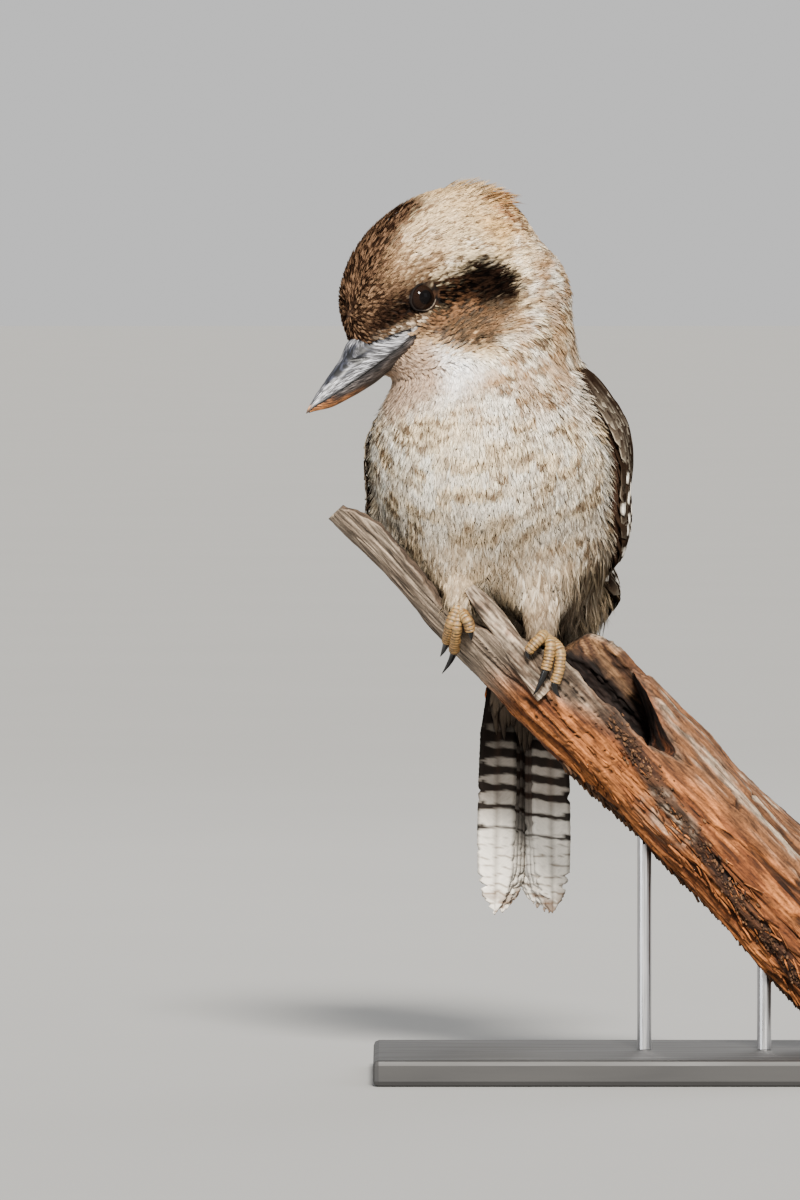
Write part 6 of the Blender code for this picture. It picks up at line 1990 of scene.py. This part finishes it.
def scaly_tube(line, radii, outward, thick):
    """Rings and paint of a toe or leg: overlapping ring scales above, round pads below.

    Radius = base radius * (1 + a saw of the length over the scales' spacing, strongest on
    the outer side, + a slow swell for each pad on the inner side).
    """
    length = distances(line)
    way = unit(np.gradient(line, axis=0))
    over = unit(outward - dot(outward, way) * way)
    side = np.cross(way, over)
    turn = np.linspace(0.0, 2.0 * np.pi, TUBE_SIDES, endpoint=False)
    top = ramp(np.sin(turn), -0.2, 0.5)
    saw = (length / SCUTE) % 1.0
    step = (saw**0.7)[:, None] * top[None, :]
    groove = bell(np.minimum(saw, 1.0 - saw) / 0.15)[:, None] * top[None, :]
    pads = np.sin(length * 2.0 * np.pi / 6.4)[:, None] * (1.0 - top)[None, :]
    grit = cloud(together(length[:, None], turn[None, :] * 2.2, 0.0), 0.7, 241) - 0.5
    relief = 0.10 * step - 0.14 * groove + 0.07 * pads + 0.05 * grit * (1 - top)
    radius = radii[:, None] * (1.0 + thick * relief)
    rings = rings_round(line, radius, side, over, turn)
    dull = np.clip(groove + 0.9 * grit + 0.3, 0.0, 1.0)
    colour = mixed(LOOK.yellow_skin, LOOK.olive_skin * 0.7, dull)
    pale = ramp(step, 0.55, 0.95) * 0.4
    return rings, mixed(colour, tint(196, 164, 104), pale) * 0.72


def tube_sheet(parts):
    """Closed tubes as one set of points, triangles and paint."""
    points, faces, colours = [], [], []
    offset = 0
    for rings, paint in parts:
        corners, groups = closed_tube(rings)
        points.append(corners)
        faces.append(in_triangles(groups) + offset)
        colours.append(with_ends(paint))
        offset += len(corners)
    return np.concatenate(points), np.concatenate(faces), np.concatenate(colours)


def make_feet():
    """Legs, scaly toes and glossy claws for both feet."""
    soft = {"Roughness": 0.5, "Subsurface_Weight": 0.05, "Subsurface_Scale": 0.002}
    skin = mottled_paint("scaly skin", 2200.0, 4.0, 0.82, 1.12, (0.35, 0.0002), **soft)
    glossy = {"Roughness": 0.25, "Specular_IOR_Level": 0.4, "Coat_Weight": 0.2, "Coat_Roughness": 0.12}
    horn = mottled_paint("claw horn", 1300.0, 3.0, 0.7, 1.25, (0.15, 0.0001), **glossy)
    axis_far = limb_point(np.array([-60.0]), np.array([0.0]), np.array([0.0]))[0]
    for name, plan in FEET.items():
        parts = []
        for toe in plan["toes"]:
            line = toe_path(plan["ankle"], toe, TOE_ROWS)
            foot = (line - axis_far) @ limb_axis()
            outward = line - (axis_far + foot[:, None] * limb_axis())
            radii = np.linspace(TOE_ROOT_RADIUS, TOE_END_RADIUS, len(line))
            radii = radii * (1.0 - 0.35 * ramp(np.linspace(0.0, 1.0, len(line)), 0.97, 1.0))
            parts.append(scaly_tube(line, radii, unit(outward), 1.0))
        middle = limb_round(*plan["ankle"])
        round_ball = np.linspace(0.1, math.pi - 0.1, BALL_ROWS)
        ball = middle + (FOOT_RADIUS * np.cos(round_ball))[:, None] * UP
        rim = FOOT_RADIUS * np.sin(round_ball)
        parts.append(scaly_tube(ball, rim, np.broadcast_to(TO_FRONT, ball.shape), 0.4))
        points, faces, colour = tube_sheet(parts)
        settle(make_piece(f"scaled_foot_{name}", points, faces, skin, colour), "foot_skin", f"foot_{name}")
        hip = np.array(plan["hip"], float)
        end = middle + 0.5 * FOOT_RADIUS * unit(hip - middle)
        share = np.linspace(0.0, 1.0, LEG_ROWS)[:, None]
        line = hip * (1.0 - share) + end * share
        radii = LEG_RADIUS * (1.0 + 0.06 * ramp(share[:, 0], 0.85, 1.0))
        part = scaly_tube(line, radii, np.broadcast_to(TO_FRONT, line.shape), 1.0)
        points, faces, colour = tube_sheet([part])
        settle(make_piece(f"scaled_leg_{name}", points, faces, skin, colour), "foot_skin", f"leg_{name}")
        claws = [
            claw_rings(toe_path(plan["ankle"], toe, TOE_PARTS), limb_round(*tip))
            for toe, tip in zip(plan["toes"], plan["claws"])
        ]
        points, faces, colour = tube_sheet(claws)
        nodes = [f"claw_{name}_{number}" for number in range(1, 5)]
        settle(make_piece(f"claws_{name}", points, faces, horn, colour), "claw_horn", *nodes)


def claw_rings(toe, tip):
    """A claw: a curve from the toe's end to its point, deeper than wide, tapering to a point."""
    onward = unit(toe[-1] - toe[-2])
    start = toe[-1] - 0.9 * onward
    reach = np.linalg.norm(tip - start)
    middle = start + 0.5 * reach * onward
    share = np.linspace(0.0, 1.0, CLAW_ROWS)[:, None]
    line = (1.0 - share) ** 2 * start + 2.0 * share * (1.0 - share) * middle + share**2 * tip
    radii = np.interp(share[:, 0], (0.0, 0.12, 0.4, 0.7, 0.93, 1.0), (1.5, 1.72, 1.36, 0.9, 0.34, 0.08))
    way = unit(np.gradient(line, axis=0))
    side = unit(np.cross(way, unit(np.cross(onward, unit(tip - start)) + 1e-3)))
    turn = np.arange(CLAW_SIDES) * 2.0 * np.pi / CLAW_SIDES
    rings = rings_round(line, radii[:, None], side, np.cross(side, way), turn)
    ridge = share + 0.0 * rings[..., 0]
    colour = mixed(tint(5, 4, 4), tint(60, 48, 38), 0.4 * ramp(-ridge, -0.10, 0.0))
    return rings[:, ::-1], colour


def dress_stand():
    """The carried-over stand: a matt painted board with a faint grain and brushed steel rods."""
    board = Paintwork("painted board", Roughness=0.52, Specular_IOR_Level=0.35)
    grain = board.noise(board.place(), 90.0, 5.0, (0.12, 1.0, 1.0))
    board.two_tone(grain, tint(30, 30, 31), tint(46, 45, 44))
    rough = board.levels(grain, "Fac", 0.3, 0.7, 0.44, 0.6)
    board.link(rough, 0, board.shader, "Roughness")
    board.bump(grain, "Fac", 0.25, 0.0003)
    steel = Paintwork("brushed steel", Roughness=0.3, Metallic=1.0)
    brushed = steel.noise(steel.place(), 900.0, 4.0, (1.0, 1.0, 0.03))
    steel.two_tone(brushed, tint(150, 150, 152), tint(206, 206, 208))
    steel.link(steel.levels(brushed, "Fac", 0.3, 0.7, 0.22, 0.42), 0, steel.shader, "Roughness")
    steel.bump(brushed, "Fac", 0.15, 0.0001)
    for name, node in NODES.items():
        if name.startswith("stand_"):
            finish = board if name == "stand_base" else steel
            node.data.materials.clear()
            node.data.materials.append(finish.material)


CAMERA_PLACE = (-0.090, -5.998, 0.3717)
CAMERA_TILT = math.radians(88.5)
FLOOR_REACH = 60.0
KEY_TURN = (math.radians(58.0), 0.0, math.radians(5.0))
LIGHTS_AIM = np.array([-0.05, 0.0, 0.22])
# Name, place, size, power and colour.
AREA_LIGHTS = (
    ("fill", (2.2, -1.8, 1.2), 1.6, 16.0, (0.92, 0.95, 1.0)),
    ("front", (-2.5, -2.3, 0.1), 1.6, 75.0, (0.96, 0.98, 1.0)),
    ("back", (0.9, 2.2, 1.9), 1.4, 30.0, (1.0, 0.98, 0.95)),
)


def area_light(name, place, size, energy, colour):
    """A soft square light that looks at the bird."""
    lamp = bpy.data.lights.new(name, "AREA")
    lamp.size = size
    lamp.energy = energy
    lamp.color = colour
    item = bpy.data.objects.new(name, lamp)
    bpy.context.scene.collection.objects.link(item)
    aim = LIGHTS_AIM - np.array(place)
    flat = math.hypot(aim[0], aim[1])
    item.rotation_euler = (math.atan2(flat, -aim[2]), 0.0, math.atan2(-aim[0], aim[1]))
    item.location = place


def make_stage():
    """Floor, soft lights, pale world and a far camera with a long lens."""
    scene = bpy.context.scene
    mesh = bpy.data.meshes.new("floor")
    signs = ((-1.0, -1.0), (1.0, -1.0), (1.0, 1.0), (-1.0, 1.0))
    mesh.from_pydata([(FLOOR_REACH * x, FLOOR_REACH * y, 0.0) for x, y in signs], [], [(0, 1, 2, 3)])
    floor = bpy.data.objects.new("floor", mesh)
    scene.collection.objects.link(floor)
    work = Paintwork("pale floor", Roughness=0.85)
    work.two_tone(work.noise(work.place(), 3.0, 3.0), tint(132, 132, 131), tint(136, 136, 135))
    mesh.materials.append(work.material)
    world = bpy.data.worlds.new("pale world")
    world.use_nodes = True
    ground = world.node_tree.nodes["Background"]
    ground.inputs["Color"].default_value = (*tint(226, 226, 226), 1.0)
    ground.inputs["Strength"].default_value = LOOK.world_strength
    scene.world = world
    for light in AREA_LIGHTS:
        area_light(*light)
    sky = bpy.data.lights.new("key", "SUN")
    sky.angle = LOOK.key_angle
    sky.energy = LOOK.key_strength
    sky.color = (1.0, 0.95, 0.87)
    lamp = bpy.data.objects.new("key", sky)
    lamp.rotation_euler = KEY_TURN
    scene.collection.objects.link(lamp)
    lens = bpy.data.cameras.new("camera")
    lens.lens = LOOK.lens
    lens.sensor_fit = "AUTO"
    lens.clip_end = 200.0
    camera = bpy.data.objects.new("camera", lens)
    camera.location = CAMERA_PLACE
    camera.rotation_euler = (CAMERA_TILT, 0.0, 0.0)
    scene.collection.objects.link(camera)
    scene.camera = camera


def colour_setting(name, description, colour):
    """A colour setting."""
    return bpy.props.FloatVectorProperty(
        name=name, description=description, default=tuple(colour), size=3, min=0.0, max=1.0, subtype="COLOR"
    )


class PlumageSettings(bpy.types.PropertyGroup):
    """Sizes and colours of the feathers."""

    tufts_apart: bpy.props.FloatProperty(
        name="Tufts apart",
        description="Distance between tufts against the usual",
        default=1.0,
        min=0.8,
        max=4.0,
        subtype="FACTOR",
    )
    tuft_length: bpy.props.FloatProperty(
        name="Tuft length",
        description="Length of the tufts against the usual",
        default=1.0,
        min=0.5,
        max=1.5,
        subtype="FACTOR",
    )
    deepen: bpy.props.FloatProperty(
        name="Deepen", description="Power that deepens the plumage's colours", default=1.2, min=1.0, max=2.0
    )
    cream: colour_setting("Cream", "Colour of the cream feathers of breast and brow", tint(234, 214, 180))
    white: colour_setting("White", "Colour of the palest feathers", tint(248, 240, 226))
    buff: colour_setting("Buff", "Colour of the buff of the hind crown", tint(214, 180, 130))
    rufous: colour_setting("Rufous", "Colour of the rufous of rump and tail", tint(150, 84, 40))
    brown: colour_setting("Brown", "Colour of the brown streaks and bars", tint(92, 74, 58))
    umber: colour_setting("Umber", "Colour of the dark brown of crown and wings", tint(56, 41, 32))
    soot: colour_setting("Soot", "Colour of the black of the ear patch", tint(15, 12, 11))
    stone: colour_setting("Stone", "Colour of the grey cream of feather edges", tint(204, 190, 168))
    wash: colour_setting("Wash", "Colour of the soft brown bars", tint(142, 122, 100))


class FootSettings(bpy.types.PropertyGroup):
    """Colours of the feet."""

    yellow_skin: colour_setting("Yellow skin", "Colour of the scales of the toes", tint(158, 118, 64))
    olive_skin: colour_setting("Olive skin", "Colour of the skin between the scales", tint(52, 36, 22))


class LimbSettings(bpy.types.PropertyGroup):
    """Colours of the broken limb."""

    raw_wood: colour_setting("Raw wood", "Colour of the freshly broken wood", tint(164, 100, 52))
    raw_dark: colour_setting("Raw dark", "Colour of the dark grain of the broken wood", tint(98, 54, 26))
    silver_wood: colour_setting("Silver wood", "Colour of the pale weathered wood", tint(150, 134, 116))
    grey_wood: colour_setting("Grey wood", "Colour of the dark weathered wood", tint(78, 64, 52))
    bark: colour_setting("Bark", "Colour of the bark and crumbs", tint(42, 28, 20))
    rot: colour_setting("Rot", "Colour of the rot inside the hollow", tint(26, 16, 12))


class StageSettings(bpy.types.PropertyGroup):
    """Strengths of the lights, and the lens."""

    key_strength: bpy.props.FloatProperty(
        name="Key strength", description="Strength of the main light", default=13.0, min=0.0
    )
    key_angle: bpy.props.FloatProperty(
        name="Key softness",
        description="How wide the main light looks",
        default=math.radians(11.0),
        subtype="ANGLE",
    )
    world_strength: bpy.props.FloatProperty(
        name="World strength", description="Strength of the light from all round", default=0.95, min=0.0
    )
    lens: bpy.props.FloatProperty(
        name="Lens", description="Focal length of the camera", default=400.0, min=50.0, unit="CAMERA"
    )


SETTINGS = {
    "kookaburra_plumage": PlumageSettings,
    "kookaburra_feet": FootSettings,
    "kookaburra_limb": LimbSettings,
    "kookaburra_stage": StageSettings,
}


def read_look(scene):
    """Read every setting of the scene into the look in use."""
    for title, kind in SETTINGS.items():
        group = getattr(scene, title)
        for name in kind.__annotations__:
            value = getattr(group, name)
            setattr(LOOK, name, value if isinstance(value, float) else np.array(value[:]))


def finished(context, make):
    """Read the settings, make the piece and report it as done."""
    read_look(context.scene)
    make()
    return {"FINISHED"}


class KOOKABURRA_OT_skin(bpy.types.Operator):
    """Make the skin of head, neck and trunk with the lids"""

    bl_idname = "kookaburra.skin"
    bl_label = "Skin"

    def execute(self, context):
        return finished(context, make_skin)


class KOOKABURRA_OT_coat(bpy.types.Operator):
    """Make the coat of small feathers"""

    bl_idname = "kookaburra.coat"
    bl_label = "Coat"

    def execute(self, context):
        return finished(context, make_coat)


class KOOKABURRA_OT_eyes(bpy.types.Operator):
    """Make both eyes"""

    bl_idname = "kookaburra.eyes"
    bl_label = "Eyes"

    def execute(self, context):
        return finished(context, make_eyes)


class KOOKABURRA_OT_bill(bpy.types.Operator):
    """Make both halves of the bill"""

    bl_idname = "kookaburra.bill"
    bl_label = "Bill"

    def execute(self, context):
        return finished(context, make_bill)


class KOOKABURRA_OT_wings(bpy.types.Operator):
    """Make both folded wings"""

    bl_idname = "kookaburra.wings"
    bl_label = "Wings"

    def execute(self, context):
        return finished(context, make_wings)


class KOOKABURRA_OT_tail(bpy.types.Operator):
    """Make the tail with its coverts"""

    bl_idname = "kookaburra.tail"
    bl_label = "Tail"

    def execute(self, context):
        return finished(context, make_tail)


class KOOKABURRA_OT_feet(bpy.types.Operator):
    """Make legs, toes and claws"""

    bl_idname = "kookaburra.feet"
    bl_label = "Feet"

    def execute(self, context):
        return finished(context, make_feet)


class KOOKABURRA_OT_limb(bpy.types.Operator):
    """Make the broken limb"""

    bl_idname = "kookaburra.limb"
    bl_label = "Limb"

    def execute(self, context):
        return finished(context, make_limb)


class KOOKABURRA_OT_stand(bpy.types.Operator):
    """Give the stand's parts their materials"""

    bl_idname = "kookaburra.stand"
    bl_label = "Stand"

    def execute(self, context):
        return finished(context, dress_stand)


class KOOKABURRA_OT_stage(bpy.types.Operator):
    """Make the floor, the lights and the camera"""

    bl_idname = "kookaburra.stage"
    bl_label = "Stage"

    def execute(self, context):
        return finished(context, make_stage)


OPERATORS = (
    KOOKABURRA_OT_skin,
    KOOKABURRA_OT_coat,
    KOOKABURRA_OT_eyes,
    KOOKABURRA_OT_bill,
    KOOKABURRA_OT_wings,
    KOOKABURRA_OT_tail,
    KOOKABURRA_OT_feet,
    KOOKABURRA_OT_limb,
    KOOKABURRA_OT_stand,
    KOOKABURRA_OT_stage,
)


class KOOKABURRA_PT_pieces(bpy.types.Panel):
    """The bird's settings and pieces in the sidebar."""

    bl_idname = "KOOKABURRA_PT_pieces"
    bl_label = "Kookaburra"
    bl_space_type = "VIEW_3D"
    bl_region_type = "UI"
    bl_category = "Kookaburra"

    def draw(self, context):
        """List every setting, then every operator."""
        for title, kind in SETTINGS.items():
            box = self.layout.box()
            for name in kind.__annotations__:
                box.prop(getattr(context.scene, title), name)
        for operator in OPERATORS:
            self.layout.operator(operator.bl_idname)


CLASSES = (*SETTINGS.values(), *OPERATORS, KOOKABURRA_PT_pieces)


def register():
    """Register the classes and hang the settings on the scene."""
    for kind in CLASSES:
        bpy.utils.register_class(kind)
    for title, kind in SETTINGS.items():
        setattr(bpy.types.Scene, title, bpy.props.PointerProperty(type=kind))


def unregister():
    """Take the settings and the classes away again."""
    for title in SETTINGS:
        delattr(bpy.types.Scene, title)
    for kind in reversed(CLASSES):
        bpy.utils.unregister_class(kind)


def main():
    """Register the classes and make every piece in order."""
    register()
    bpy.ops.kookaburra.skin()
    bpy.ops.kookaburra.coat()
    bpy.ops.kookaburra.eyes()
    bpy.ops.kookaburra.bill()
    bpy.ops.kookaburra.wings()
    bpy.ops.kookaburra.tail()
    bpy.ops.kookaburra.feet()
    bpy.ops.kookaburra.limb()
    bpy.ops.kookaburra.stand()
    bpy.ops.kookaburra.stage()
    bpy.context.view_layer.update()


if __name__ == "__main__":
    main()
